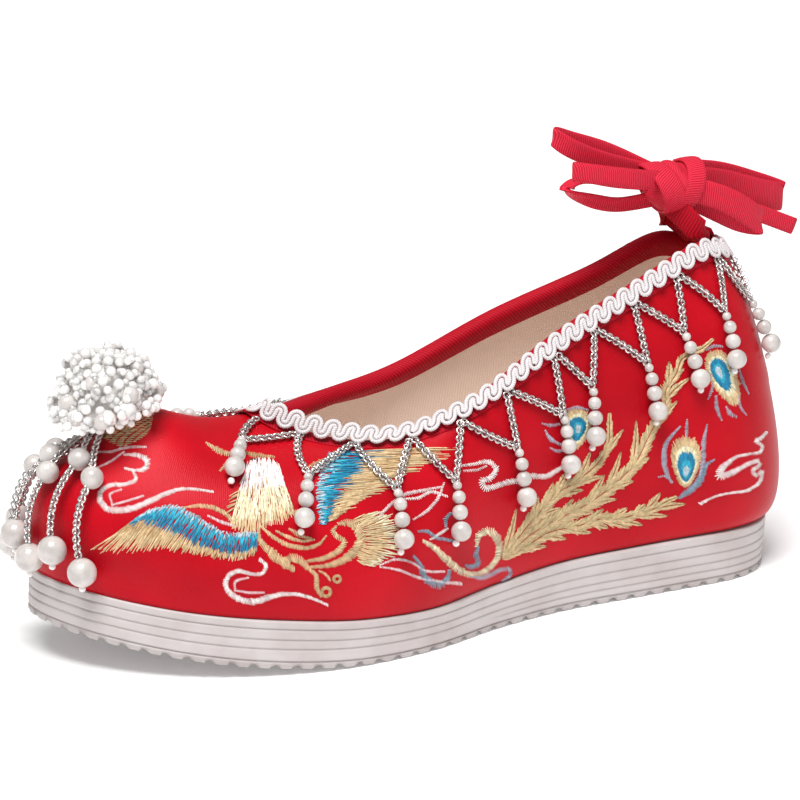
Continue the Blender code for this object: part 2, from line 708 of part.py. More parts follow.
def ribbon_mesh(path, turns, width):
    """Mesh of a flat ribbon along a path. Its width stands upright, turned about the path by degrees."""
    width = np.broadcast_to(width, len(path))[:, None]
    run = np.gradient(path, axis=0)
    run = run / np.linalg.norm(run, axis=1, keepdims=True)
    flat = np.cross(run, [0.0, 0.0, 1.0])
    flat = flat / np.linalg.norm(flat, axis=1, keepdims=True)
    upright = np.cross(flat, run)
    turn = np.radians(turns)[:, None]
    wide = (np.cos(turn) * upright + np.sin(turn) * flat) * width / 2 * MM
    thick = (np.cos(turn) * flat - np.sin(turn) * upright) * RIBBON_THICK / 2 * MM
    corners = np.stack([path + wide + thick, path + wide - thick, path - wide - thick, path - wide + thick], axis=1)
    faces = [(0, 1, 2, 3)]
    for section in range(len(path) - 1):
        for corner in range(4):
            here = section * 4
            after = (corner + 1) % 4
            faces.append((here + corner, here + after, here + 4 + after, here + 4 + corner))
    last = (len(path) - 1) * 4
    faces.append((last + 3, last + 2, last + 1, last))
    mesh = bpy.data.meshes.new("ribbon")
    mesh.from_pydata([tuple(map(float, v)) for v in corners.reshape(-1, 3)], [], faces)
    return cleaned(mesh)


def from_knot(bends):
    """Bends in metres, with the turn kept in degrees."""
    rows = []
    for bend in bends:
        place = (MIDDLE - KNOT[0] + bend.along, KNOT[1] + bend.across, KNOT[2] + bend.up)
        rows.append((*np.array(place) * MM, bend.turn))
    return rows


def build_bow():
    knot = node("bow_knot", [], [], TWILL)
    knot.data = knot_mesh(0.0)
    knot.data.materials.append(material(TWILL))
    for ribbon in RIBBONS:
        path = smooth_path(from_knot(ribbon.bends), RIBBON_SPAN_STEPS)
        mesh = ribbon_mesh(path[:, :3], path[:, 3], ribbon.width)
        combined(ribbon.name, mesh, [knot_mesh(GAP)], TWILL, "DIFFERENCE")
    ring = np.linspace(ARCH_HALF + 0.035, -ARCH_HALF - 0.035, 13)
    middle = collar_section(ring, Corner(LEG_LEVEL, -WALL / 2))
    rise = np.array(from_knot(LEG_RISE))[:, :3]
    other = rise * [1, -1, 1] + [0, 2 * KNOT[1] * MM, 0]
    path = np.concatenate([rise[::-1], middle, other])
    width = np.full(len(path), LEG_PINCH)
    width[:2] = LEG_WIDTH
    width[-2:] = LEG_WIDTH
    mesh = ribbon_mesh(path, np.zeros(len(path)), width)
    combined("bow_tie", mesh, [knot_mesh(GAP)], TWILL, "DIFFERENCE")


build_outsole()
build_upper()
build_insole()
build_collar_band("collar_binding", BINDING, 0.0, TWILL)
build_collar_band("gimp_braid", GIMP, sink(RING), BRAID)
build_fringe()
build_pompom()
build_strands()
build_heel_loop()
build_bow()
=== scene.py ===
"""Looks of the embroidered wedding shoe: toe towards -X, outer side -Y, floor at Z = 0.

Sizes are millimetres. The sole's plan, the upper's face and the collar follow the same functions as the solids.
"""

from collections import namedtuple
from functools import lru_cache

import bmesh
import bpy
import numpy as np
from mathutils import Matrix, Vector
from mathutils.kdtree import KDTree


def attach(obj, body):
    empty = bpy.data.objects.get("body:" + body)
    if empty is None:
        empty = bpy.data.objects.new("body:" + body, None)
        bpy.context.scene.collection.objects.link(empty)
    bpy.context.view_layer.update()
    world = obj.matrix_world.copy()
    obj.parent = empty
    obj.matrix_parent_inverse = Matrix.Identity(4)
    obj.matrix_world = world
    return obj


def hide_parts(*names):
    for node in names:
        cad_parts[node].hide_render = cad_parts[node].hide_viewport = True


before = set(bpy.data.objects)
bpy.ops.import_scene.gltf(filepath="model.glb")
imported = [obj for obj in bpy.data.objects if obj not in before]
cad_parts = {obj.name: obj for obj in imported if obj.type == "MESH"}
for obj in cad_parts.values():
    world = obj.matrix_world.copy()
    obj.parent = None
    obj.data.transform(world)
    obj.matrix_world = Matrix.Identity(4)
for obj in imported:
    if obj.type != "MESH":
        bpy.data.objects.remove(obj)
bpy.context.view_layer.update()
rng = np.random.default_rng(20)

MM = 0.001
GAP = 0.3                 # clearance between neighbouring pieces
LENGTH = 245.0            # sole, heel end to toe tip
MIDDLE = LENGTH / 2
HALF_COLUMNS = 25         # columns from heel to toe on each side
RIB_ROWS = 10

# Plan of the sole
HEEL_ROUND = 30.0         # length of the rounded heel end
HEEL_POWER = 2.4
TOE_ROUND_OUTER = 85.0    # length of the rounded toe on the outer and inner side
TOE_ROUND_INNER = 75.0
SWING = 10.5              # how far the toe tip swings towards the inner side
SWING_START = 130.0
SPRING = 12.8             # lift of the toe tip off the floor
SPRING_START = 146.0

Sole = namedtuple("Sole", "along outer inner depth")
SOLE = (
    Sole(0, 29.3, 29.0, 16.6),
    Sole(30, 29.3, 29.0, 16.6),
    Sole(55, 29.5, 29.0, 16.5),
    Sole(85, 30.0, 27.5, 15.7),
    Sole(110, 34.6, 29.0, 14.1),
    Sole(135, 42.5, 35.0, 13.1),
    Sole(158, 45.8, 40.5, 14.0),
    Sole(185, 46.5, 42.0, 15.1),
    Sole(215, 46.5, 41.0, 14.9),
    Sole(245, 45.0, 38.0, 14.3),
)

# Grooves of the sole's side, as shares of its depth from the floor up
Groove = namedtuple("Groove", "name heel toe deep")
GROOVES = (
    Groove("tread", 0.13, 0.17, 1.0),
    Groove("heel_only", 0.29, 0.29, 0.7),
    Groove("middle", 0.45, 0.41, 0.7),
    Groove("high", 0.62, 0.61, 0.7),
    Groove("lip", 0.83, 0.83, 0.8),
)
HEEL_GROOVE_END = 118.0   # the heel-only groove runs out here
HEEL_GROOVE_FADE = 18.0
EDGE = 0.9                # chamfer at floor and top edges
TAPER_HEEL = -1.0         # how far the top edge stands in from the floor edge
TAPER_TOE = 0.6

# Upper: one row for every tenth of the way from heel to toe
SEAT = 1.2                # upper stands this far in from the sole's edge
WALL = 2.0
Rib = namedtuple("Rib", "rim_along rim_half rim_height inner_drop power swell")
RIBS = (
    Rib(14.2, 0.0, 102.4, 0.0, 1.30, 8.2),
    Rib(17.6, 8.0, 103.6, 1.8, 1.32, 7.6),
    Rib(28.5, 12.5, 105.6, 2.6, 1.42, 4.8),
    Rib(51.0, 14.6, 97.0, 2.7, 1.50, 2.6),
    Rib(83.0, 19.2, 85.2, 2.0, 1.60, 2.2),
    Rib(114.0, 23.3, 69.9, 0.3, 1.80, 2.0),
    Rib(136.5, 22.3, 62.3, -2.4, 2.00, 1.8),
    Rib(152.0, 16.8, 61.9, -1.2, 2.60, 1.8),
    Rib(163.0, 10.5, 64.4, 0.3, 3.20, 1.8),
    Rib(170.0, 5.0, 67.5, 0.6, 3.80, 1.5),
    Rib(172.5, 0.0, 68.6, 0.0, 4.00, 1.5),
)
SWELL_SKEW = 0.62         # under 1 keeps the swell low on the wall
RIM_TURN = 0.9            # share of a quarter turn that a rib makes up to the collar
PEAK_RISE = 9.0           # upturned toe
PEAK_ALONG = 211.0
PEAK_LONG = 15.0
PEAK_WIDE = 20.0

# Insole
FOOTBED = 3.0             # thickness under the ball
WEDGE = 22.0              # extra thickness under the heel
WEDGE_FRONT = 130.0
WEDGE_BACK = 45.0

# Collar: a corner of a section lies below its edge and out from the wall
Corner = namedtuple("Corner", "below out")
INNER_SINK = 2.4          # braid and fringe lie this much lower on the inner side

# Bead fringe: places round the collar where its chains are sewn on, by the rim's distance along the shoe
ANCHORS = (14.5, 22.8, 36.8, 52.3, 68.0, 82.6, 100.0, 116.4, 131.6, 147.5, 161.5, 170.7)
CHAIN_RADIUS = 0.9
CHAIN_TOP = 7.2           # start of the chains, under the braid
CHAIN_APART = 0.08        # share of the way between two anchors where the chains start
# Where the two chains of a drop meet: share of the way to the next anchor and fall square to the collar;
# lean to the heel of the string that hangs there
Drop = namedtuple("Drop", "share fall lean")
DROPS = (
    Drop(0.3, 13.0, 0.0),
    Drop(0.4, 15.0, 0.0),
    Drop(0.45, 14.0, 0.2),
    Drop(0.35, 16.0, 0.07),
    Drop(0.6, 13.0, -0.1),
    Drop(0.4, 15.0, 0.0),
    Drop(0.3, 14.0, 0.0),
    Drop(0.5, 14.0, -0.2),
    Drop(0.35, 14.0, -0.15),
    Drop(0.6, 16.0, -0.3),
    Drop(0.9, 11.0, -0.3),
)
DROP_BEADS = (1.5, 2.2, 2.6, 3.35)
DROP_CLEAR = 0.5          # from the wall

# Bead cluster on the toe and the strands that hang from it
POMPOM_ALONG = 221.0
POMPOM_ACROSS = 7.0
POMPOM_HEIGHT = 80.8
POMPOM_CORE = (14.0, 14.0, 11.0)
Strand = namedtuple("Strand", "top_ring middle_ring end_ring top middle end")
STRANDS = (
    Strand(0.994, 0.909, 0.880, 43.5, 31.0, 8.0),
    Strand(1.023, 0.953, 0.924, 47.5, 36.0, 12.0),
    Strand(1.049, 0.985, 0.970, 47.0, 30.0, 7.0),
    Strand(1.076, 1.026, 1.014, 46.0, 34.8, 11.8),
    Strand(1.103, 1.062, 1.060, 45.0, 29.0, 7.0),
    Strand(1.140, 1.112, 1.108, 44.0, 34.0, 12.0),
)
STRAND_CHAIN = 1.1
STRAND_MIDDLE = 3.5
STRAND_END = 4.5

# Loop of tape at the heel: outer and inner face of its arch, a row for each corner
ARCH_OUTSIDE = (Corner(-2.3, 1.0), Corner(-5.6, 1.4), Corner(-7.6, -1.0), Corner(-5.6, -3.4), Corner(-2.3, -3.0))
ARCH_INSIDE = (Corner(-2.3, 0.0), Corner(-5.2, 0.4), Corner(-6.4, -1.0), Corner(-5.2, -2.4), Corner(-2.3, -2.0))
ARCH_HALF = 0.07          # reach round the collar to each side

# Ribbon bow: a row for each bend, from the knot's middle in millimetres, turn in degrees about the ribbon
KNOT = (28.0, 2.0, 122.0)
KNOT_RADII = (9.5, 7.5, 7.5)
Bend = namedtuple("Bend", "along across up turn")
Ribbon = namedtuple("Ribbon", "name width bends")
RIBBONS = (
    Ribbon("bow_loop_high", 6.0, (
        Bend(-3.0, 4.0, 3.0, 0), Bend(-17.5, 10.0, 10.7, 0), Bend(-30.0, 11.0, 15.5, 0), Bend(-37.5, 8.5, 18.3, 0),
        Bend(-33.0, 5.5, 14.5, 0), Bend(-22.0, 4.2, 9.5, 0), Bend(-4.0, 2.0, 3.5, 0))),
    Ribbon("bow_loop_front", 6.2, (
        Bend(-3.0, -4.0, 2.5, 0), Bend(-20.0, -7.0, 6.5, 0), Bend(-32.0, -6.0, 9.0, 0), Bend(-37.0, -3.0, 9.6, 0),
        Bend(-31.0, -1.2, 8.0, 0), Bend(-20.0, -1.0, 5.0, 0), Bend(-4.0, -0.5, 2.0, 0))),
    Ribbon("bow_loop_low", 5.6, (
        Bend(-4.0, 3.0, 0.2, 90), Bend(-20.0, 4.0, 2.6, 90), Bend(-31.0, 4.2, 4.4, 90), Bend(-35.5, 4.0, 2.4, 90),
        Bend(-31.0, 3.2, -0.6, 90), Bend(-19.0, 2.2, -4.2, 90), Bend(-4.0, 1.0, -3.6, 90))),
    Ribbon("bow_loop_back", 7.0, (
        Bend(3.0, 5.0, 2.5, 0), Bend(22.0, 10.0, -1.5, 0), Bend(37.0, 10.5, -6.8, 0), Bend(45.5, 8.0, -10.4, 0),
        Bend(36.0, 5.2, -7.8, 0), Bend(20.0, 4.5, -2.5, 0), Bend(4.0, 3.0, 1.0, 0))),
    Ribbon("bow_loop_near", 7.5, (
        Bend(2.0, -5.0, 0.5, 0), Bend(14.0, -9.0, -4.0, 0), Bend(23.0, -9.2, -9.5, 0), Bend(28.0, -7.0, -13.5, 0),
        Bend(23.0, -4.6, -12.6, 0), Bend(14.0, -4.0, -8.0, 0), Bend(4.0, -1.5, -2.5, 0))),
    Ribbon("bow_end", 5.2, (
        Bend(4.0, 0.5, -2.0, 0), Bend(18.0, 0.6, -7.0, 0), Bend(31.0, 0.5, -12.2, 0), Bend(45.5, 0.0, -18.6, 0))),
)
LEG_WIDTH = 7.0
LEG_PINCH = 2.5           # width where the loop gathers the ribbon
LEG_LEVEL = -4.0          # ribbon's middle in the heel loop, above the collar's edge
LEG_RISE = (Bend(4.0, -9.0, -12.5, 0), Bend(-2.0, -3.5, -5.0, 0))

# Camera of the photo: pixels are counted on its 800 by 800 picture
PHOTO = 800.0
TURN = np.radians(28.1)       # round the shoe, from square on to its outer side
DROP = np.radians(18.1)       # downwards
AWAY = 1500.0
PX_PER_MM = 3.23              # at the aim
AIM = np.array([0.0, 0.0, 30.0])
AIM_PX = np.array([408.4, 511.5])
SENSOR = 36.0
RIGHT = np.array([np.cos(TURN), -np.sin(TURN), 0.0])
AHEAD = np.array([np.sin(TURN) * np.cos(DROP), np.cos(TURN) * np.cos(DROP), -np.sin(DROP)])
ABOVE = np.cross(RIGHT, AHEAD)

# Fineness of the meshes
SOLE_COLUMNS = 720
SOLE_ROWS = 64
FACE_COLUMNS = 480
FACE_ROWS = 90
LINING_ROWS = 40
RUN_STEPS = 241
INSIDE_STEPS = 181
INSIDE_TOP = 0.9          # the footbed lies below this turn of a rib
COLLAR_COLUMNS = 480
ARCH_COLUMNS = 28
PEARL_DETAIL = 3
SEED_DETAIL = 2
CORE_DETAIL = 3
KNOT_DETAIL = 5

# Relief of the sole's side, with painted shade in its grooves, nicks and along its foot
GROOVE_SIGMA = 0.3            # half width of a groove's soft section
GROOVE_SHARE = 0.5            # of the solid's groove depth
GROOVE_PAINTED_SHADE = 0.5             # how far a groove is painted with shade, towards the shade colour
# how far the tread groove is painted with shade
TREAD_PAINTED_SHADE = 0.9
TOP_EDGE = 0.6 * EDGE         # rounding under the upper
SOLE_PALE = "#C4BDBC"
# colour of the painted shade in the grooves, the nicks and along the foot
SOLE_PAINTED_SHADE = "#A29A98"
FOOT_HIGH = 2.6               # painted shade along the foot of the side, up to this height
FOOT_FADE = 1.2
# how far the foot is painted with shade; the nicks take it in full
FOOT_PAINTED_SHADE = 0.45
NOTCH_PITCH = 6.6             # nicks of the tread along the floor edge
NOTCH_RISE = 1.3
NOTCH_REACH = 1.8
NOTCH_START = 0.45            # shares of the pitch
NOTCH_RAMP = 0.2
NOTCH_END = 0.15

# Braid: a flat double cord laid in upright waves
WAVE_LONG = 5.7
WAVE_HALF = 2.2
PLY_APART = 0.7
PLY_RADIUS = 0.66
PLY_THICK = 0.55
BRAID_BELOW = 2.0             # middle of the braid, below the collar's edge
BRAID_OUT = 2.5
WAVE_STEPS = 7                # points on each leg and each bend

# Chain and beads
LINK_PITCH = 1.2
LINK_LONG = 1.1
LINK_WIDE = 1.08
LINK_WIRE = 0.36
BEAD_SHARE = 0.93             # pearls of the fringe beside the bodies of the solids
SEED = 1.1                    # radius of the clear bead at the end of a string
DROP_TAIL = 0.6               # how far that bead hangs below the last pearl, in its own radii
STRAND_TAIL = 0.5
POMPOM_SEEDS = 330
POMPOM_SEED = (1.1, 1.75)
POMPOM_BIG = 13
POMPOM_LEVELS = (-1.0, -0.3, 0.05, 0.5, 0.85, 1.0)
POMPOM_GIRTHS = (1.1, 1.05, 0.87, 0.8, 0.9, 0.95)
POMPOM_HANG = 5.0             # how far its underside hangs towards the toe
POMPOM_LIFT = 5.0             # how far its skirt is lifted on the heel's side
HANG_LEVEL = -0.15            # levels, of 1 at the top, under which it hangs and is lifted
LIFT_LEVEL = 0.4
POMPOM_FELT = 0.85            # core's share of the cluster
CRYSTAL = 2.9
CRYSTAL_REACH = 2.0           # room that the crystals spread over, beyond the core
CRYSTAL_STAND = 1.5
# right and up from the pompom's middle, as the photo sees them
CRYSTALS = ((7.0, -6.0), (-8.5, -8.0), (-14.5, -7.0), (1.0, -8.5))
GOLDEN_ANGLE = np.pi * (3 - np.sqrt(5))
POMPOM_SPAN = 1.6             # how far down the seeds reach, of 2 for the whole height
POMPOM_STRAY = 0.15           # radians
POMPOM_STAND = (0.2, 3.6)     # seeds off the cluster's face
POMPOM_BIG_TOP = 0.95
POMPOM_BIG_SPAN = 1.4
POMPOM_BIG_TURN = 0.6
POMPOM_BIG_STAND = 1.4
POMPOM_BIG_SIZE = (2.2, 3.0)
CHAIN_TUCK = -0.12            # the chains start this share under the braid
CHAIN_STEPS = 20
STRAND_STEPS = 40

RIBBON_FULL = 1.5             # thickness of the folded tape
RIBBON_STEPS = 12
RIBBON_SIDES = 20
RIBBON_SQUARE = 3.0           # 2 is an oval section, more is squarer

# Patterns of the materials; the weaves are drawn coarser than real ones, so that they show
WAVE_TURNS = 20               # the wave texture's turns in 2 pi units, at a scale of 1
SATIN_CLOUD = 26.3
SATIN_RIB = 0.55
SATIN_GRAIN = 0.714
RIB_SHARE = 0.3               # height of satin's rib beside its grain
LINEN_THREAD = 0.95
TAPE_TWILL = 0.75
RIBBON_TWILL = 0.55
BRAID_TWIST = 0.6
RUBBER_DUST = 16.7
RUBBER_GRIT = 1.11
SILK_FIBRE = 1.11
CHAIN_WEAR = 1.43
PEARL_CLOUD = 4.55
GLASS_FLAW = 2.0
FELT_FIBRE = 0.667
PAPER_CLOUD = 333.0
Weave = namedtuple("Weave", "pitch slant")
Relief = namedtuple("Relief", "deep strength")


def srgb(code):
    """Linear colour of an sRGB hex code."""
    values = np.array([int(code[k:k + 2], 16) for k in (1, 3, 5)]) / 255
    return np.where(values <= 0.04045, values / 12.92, ((values + 0.055) / 1.055) ** 2.4)


def add(tree, kind, settings=None, values=None, links=None, stops=(), into=None):
    """Add a node with its settings, socket values, colour stops, and links in and out."""
    made = tree.nodes.new(kind)
    for name, value in (settings or {}).items():
        setattr(made, name, value)
    for socket, value in (values or {}).items():
        made.inputs[socket].default_value = value
    for socket, source in (links or {}).items():
        tree.links.new(source, made.inputs[socket])
    for element, (position, code) in zip(made.color_ramp.elements if stops else (), stops):
        element.position = position
        element.color = (*srgb(code), 1.0)
    for socket, target in (into or {}).items():
        tree.links.new(made.outputs[socket], target)
    return made


def material(name, colour, roughness, values=None):
    """A plain material; patterns are added to its tree afterwards."""
    made = bpy.data.materials.new(name)
    made.use_nodes = True
    shader = made.node_tree.nodes["Principled BSDF"]
    shader.inputs["Base Color"].default_value = (*srgb(colour), 1.0)
    shader.inputs["Roughness"].default_value = roughness
    for socket, value in (values or {}).items():
        shader.inputs[socket].default_value = value
    return made, made.node_tree, shader


def clouds(tree, size, detail):
    """Soft random patches of a size in millimetres."""
    place = add(tree, "ShaderNodeTexCoord").outputs["Object"]
    values = {"Scale": 1 / (size * MM), "Detail": detail}
    return add(tree, "ShaderNodeTexNoise", values=values, links={"Vector": place}).outputs["Fac"]


def tinted(tree, shader, size, dark):
    """Take the colour from the mesh's tint, which holds the silks' colours or the sole's painted shade, clouded here
    and there.
    """
    tint = add(tree, "ShaderNodeAttribute", {"attribute_name": "tint"})
    cloud = clouds(tree, size, 3.0)
    ramp = add(tree, "ShaderNodeValToRGB", links={"Fac": cloud}, stops=((0.32, dark), (0.6, "#FFFFFF")))
    links = {0: tint.outputs["Color"], 1: ramp.outputs["Color"]}
    add(tree, "ShaderNodeVectorMath", {"operation": "MULTIPLY"}, links=links,
        into={"Vector": shader.inputs["Base Color"]})
    return cloud


def mottled(tree, shader, size, first, second):
    """Vary a colour gently from place to place."""
    cloud = clouds(tree, size, 2.0)
    add(tree, "ShaderNodeValToRGB", links={"Fac": cloud}, stops=((0.35, first), (0.65, second)),
        into={"Color": shader.inputs["Base Color"]})
    return cloud


def ribs(tree, pitch, direction="X", slant=0.0):
    """Even ribs of a weave, at a pitch in millimetres along the cloth and a slant in degrees."""
    cloth = add(tree, "ShaderNodeUVMap", {"uv_map": "cloth"}).outputs["UV"]
    turn = {"Rotation": (0.0, 0.0, np.radians(slant))}
    place = add(tree, "ShaderNodeMapping", values=turn, links={"Vector": cloth})
    settings = {"wave_type": "BANDS", "bands_direction": direction, "wave_profile": "SIN"}
    values = {"Scale": 2 * np.pi / (WAVE_TURNS * pitch), "Distortion": 0.0}
    return add(tree, "ShaderNodeTexWave", settings, values, {"Vector": place.outputs[0]}).outputs["Fac"]


def make_rubber():
    """Moulded rubber: matt and pale, clouded in patches; its grooves, nicks and foot darker with the painted shade
    that the mesh's tint carries.
    """
    made, tree, shader = material("pale_rubber", "#D9D3D2", 0.55)
    tinted(tree, shader, RUBBER_DUST, "#EFEAE8")
    add(tree, "ShaderNodeBump", values={"Strength": 0.3, "Distance": 0.05 * MM},
        links={"Height": clouds(tree, RUBBER_GRIT, 2.0)}, into={"Normal": shader.inputs["Normal"]})
    return made


def make_satin():
    """Woven satin: a soft broad gleam over a fine slanting rib, with a little cloudiness in the dye."""
    gleam = {"Specular IOR Level": 0.36, "Specular Tint": (1.0, 0.28, 0.32, 1.0)}
    made, tree, shader = material("red_satin", "#C4101F", 0.4, gleam)
    add(tree, "ShaderNodeValToRGB", links={"Fac": clouds(tree, SATIN_CLOUD, 4.0)},
        stops=((0.3, "#A80515"), (0.72, "#BE0B1C")), into={"Color": shader.inputs["Base Color"]})
    links = {0: ribs(tree, SATIN_RIB, slant=32), 2: clouds(tree, SATIN_GRAIN, 2.0)}
    both = add(tree, "ShaderNodeMath", {"operation": "MULTIPLY_ADD"}, {1: RIB_SHARE}, links)
    add(tree, "ShaderNodeBump", values={"Strength": 0.7, "Distance": 0.12 * MM},
        links={"Height": both.outputs[0]}, into={"Normal": shader.inputs["Normal"]})
    return made


def make_linen():
    """Plain woven linen: cream, with the open squares of its weave painted darker as shade, and a faint painted glow
    that lightens it where it lies in shade.
    """
    # painted glow: a faint emission that lightens the lining in its shade
    painted_glow = {"Emission Color": (1.0, 0.78, 0.66, 1.0), "Emission Strength": 0.05}
    made, tree, shader = material("linen_lining", "#D9CCBB", 0.9, painted_glow)
    links = {0: ribs(tree, LINEN_THREAD), 1: ribs(tree, LINEN_THREAD, "Y")}
    both = add(tree, "ShaderNodeMath", {"operation": "MULTIPLY"}, links=links).outputs[0]
    # painted shade: darker in the hollows between the threads, lighter where they cross
    add(tree, "ShaderNodeValToRGB", links={"Fac": both}, stops=((0.0, "#EFDDCF"), (1.0, "#FFF8EE")),
        into={"Color": shader.inputs["Base Color"]})
    add(tree, "ShaderNodeBump", values={"Strength": 0.6, "Distance": 0.15 * MM},
        links={"Height": both}, into={"Normal": shader.inputs["Normal"]})
    return made


def make_ribbed(name, colour, roughness, values, weave, shades, relief):
    """Cloth of one rib: twill tape, or the plies of a braid. The ribs stand up a little, and are painted lighter on
    their crests and darker between them as painted shade.
    """
    made, tree, shader = material(name, colour, roughness, values)
    lines = ribs(tree, weave.pitch, slant=weave.slant)
    # painted shade: darker in the hollows between the ribs, lighter on their crests
    add(tree, "ShaderNodeValToRGB", links={"Fac": lines}, stops=((0.0, shades[0]), (1.0, shades[1])),
        into={"Color": shader.inputs["Base Color"]})
    add(tree, "ShaderNodeBump", values={"Strength": relief.strength, "Distance": relief.deep * MM},
        links={"Height": lines}, into={"Normal": shader.inputs["Normal"]})
    return made


def make_twill(name, dark, light, pitch):
    """Twill tape: red, with slanting ribs that catch a soft gleam, painted lighter on their crests and darker
    between them.
    """
    gleam = {"Specular IOR Level": 0.3, "Specular Tint": (1.0, 0.35, 0.4, 1.0)}
    return make_ribbed(name, light, 0.6, gleam, Weave(pitch, 40), (dark, light), Relief(0.15, 0.7))


def make_braid():
    """Corded braid: white, with a faint twist along each ply."""
    weave = Weave(BRAID_TWIST, 30)
    return make_ribbed("white_braid", "#E4DEDE", 0.55, {"Sheen Weight": 0.1}, weave, ("#C4BDBE", "#E0DADB"),
                       Relief(0.06, 0.4))


def make_thread():
    """Embroidery silk: each stitch with its own tint and a bright gleam along it."""
    made, tree, shader = material("embroidery_silk", "#E6D3A8", 0.42, {"Specular IOR Level": 0.35})
    cloud = tinted(tree, shader, SILK_FIBRE, "#E6E0DA")
    add(tree, "ShaderNodeBump", values={"Strength": 0.4, "Distance": 0.1 * MM},
        links={"Height": cloud}, into={"Normal": shader.inputs["Normal"]})
    return made


def make_mottled(name, colour, roughness, values, size, shades, relief=None):
    """A finish that varies a little from place to place, with a grain of its own where it has a relief."""
    made, tree, shader = material(name, colour, roughness, values)
    cloud = mottled(tree, shader, size, *shades)
    if relief:
        add(tree, "ShaderNodeBump", values={"Strength": relief.strength, "Distance": relief.deep * MM},
            links={"Height": cloud}, into={"Normal": shader.inputs["Normal"]})
    return made


def make_chain():
    """Silver plated brass: links brighter and duller by turns, with fine scratches."""
    return make_mottled("silver_chain", "#D9D6D2", 0.24, {"Metallic": 0.85}, CHAIN_WEAR, ("#ABA5A2", "#F6F3F1"),
                        Relief(0.02, 0.3))


def make_pearl():
    """Ivory pearl: a soft glowing body under a clear skin, a little pinker in places."""
    values = {"Coat Weight": 0.7, "Coat Roughness": 0.06, "Subsurface Weight": 0.2, "Subsurface Scale": 0.002,
              "Subsurface Radius": (1.0, 0.9, 0.85)}
    return make_mottled("pearl", "#F0E8E1", 0.28, values, PEARL_CLOUD, ("#BBB4B0", "#D2CCC8"))


def make_glass():
    """Clear glass beads: milky where they crowd, with tiny flaws that break up the light, and a faint painted glow
    that brightens them.
    """
    # the faint emission is a painted glow that brightens the beads
    values = {"Coat Weight": 1.0, "Subsurface Weight": 0.7, "Subsurface Scale": 0.006,
              "Subsurface Radius": (1.0, 1.0, 1.0), "Emission Color": (1.0, 0.97, 0.94, 1.0),
              "Emission Strength": 0.02}
    return make_mottled("clear_beads", "#FBFAF8", 0.1, values, GLASS_FLAW, ("#DFDBD7", "#F4F1EE"),
                        Relief(0.05, 0.25))


def make_felt():
    """White felt: matt and fibrous, the core that the beads are sewn on."""
    return make_mottled("white_felt", "#F8F5F0", 0.9, None, FELT_FIBRE, ("#F3EFEA", "#FFFFFF"), Relief(0.3, 0.6))


def make_paper():
    """White paper: a floor that glows a little, as an evenly lit table does."""
    values = {"Specular IOR Level": 0.05, "Emission Strength": 0.16, "Emission Color": (1.0, 1.0, 1.0, 1.0)}
    return make_mottled("white_paper", "#FFFFFF", 0.9, values, PAPER_CLOUD, ("#FBFBFB", "#FFFFFF"))


RUBBER = make_rubber()
SATIN = make_satin()
LINEN = make_linen()
TAPE = make_twill("red_twill_tape", "#96081A", "#BE1226", TAPE_TWILL)
RIBBON = make_twill("red_ribbon", "#B41226", "#E4364E", RIBBON_TWILL)
BRAID = make_braid()
THREAD = make_thread()
CHAIN = make_chain()
PEARL = make_pearl()
GLASS = make_glass()
FELT = make_felt()


def grid_faces(rows, columns, wrap_rows=False, wrap_columns=False):
    """Quads between the points of a grid."""
    r = np.arange(rows if wrap_rows else rows - 1)
    c = np.arange(columns if wrap_columns else columns - 1)
    r, c = np.meshgrid(r, c, indexing="ij")
    after_r = (r + 1) % rows
    after_c = (c + 1) % columns
    quads = [r * columns + c, r * columns + after_c, after_r * columns + after_c, after_r * columns + c]
    return np.stack(quads, axis=-1).reshape(-1, 4)


def piece(name, vertices, faces, looks, nodes=(), cloth=None, tint=None, which=None, smooth=True):
    """Make one piece of the looks from its points and groups of faces."""
    mesh = bpy.data.meshes.new(name)
    vertices = np.asarray(vertices, np.float32).reshape(-1, 3)
    mesh.vertices.add(len(vertices))
    mesh.vertices.foreach_set("co", vertices.ravel())
    corners = np.concatenate([np.asarray(group).ravel() for group in faces]).astype(np.int32)
    sizes = np.concatenate([np.full(len(group), np.shape(group)[1]) for group in faces])
    mesh.loops.add(len(corners))
    mesh.loops.foreach_set("vertex_index", corners)
    mesh.polygons.add(len(sizes))
    mesh.polygons.foreach_set("loop_start", (np.cumsum(sizes) - sizes).astype(np.int32))
    if which is not None:
        mesh.polygons.foreach_set("material_index", np.asarray(which, np.int32))
    if cloth is not None:
        layer = mesh.uv_layers.new(name="cloth")
        layer.uv.foreach_set("vector", np.asarray(cloth, np.float32)[corners].ravel())
    if tint is not None:
        layer = mesh.color_attributes.new("tint", "FLOAT_COLOR", "POINT")
        rgba = np.concatenate([tint, np.ones((len(tint), 1))], axis=1)
        layer.data.foreach_set("color", rgba.astype(np.float32).ravel())
    mesh.update(calc_edges=True)
    mesh.validate()
    if smooth:
        mesh.shade_smooth()
    for look in looks:
        mesh.materials.append(look)
    return shown(name, mesh, nodes)


def shown(name, mesh, nodes=()):
    """Put a mesh in the scene on the root body, and hide the parts of the model that it stands for."""
    made = bpy.data.objects.new(name, mesh)
    bpy.context.scene.collection.objects.link(made)
    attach(made, "root")
    if nodes:
        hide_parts(*nodes)
    return made


def unit(vectors):
    """Vectors of length 1."""
    return vectors / np.linalg.norm(vectors, axis=-1, keepdims=True)


def run_along(points):
    """Length in millimetres from the first point to each point of a path."""
    steps = np.linalg.norm(np.diff(points, axis=0), axis=1) / MM
    return np.concatenate([[0.0], np.cumsum(steps)])


def between(at, places, rows):
    """Rows of a table read at places between them."""
    return np.stack([np.interp(at, places, column) for column in np.transpose(rows)], axis=-1)


def cloth_grid(first, second):
    """Millimetres of cloth along and across, for the points of a grid."""
    return np.stack(np.broadcast_arrays(first, second), axis=-1).reshape(-1, 2)


def rungs(count):
    """Quads across a ring of points, from one end to the other."""
    c = np.arange(1, count // 2 - 1)
    return np.stack([c, c + 1, count - c - 1, count - c], axis=-1)


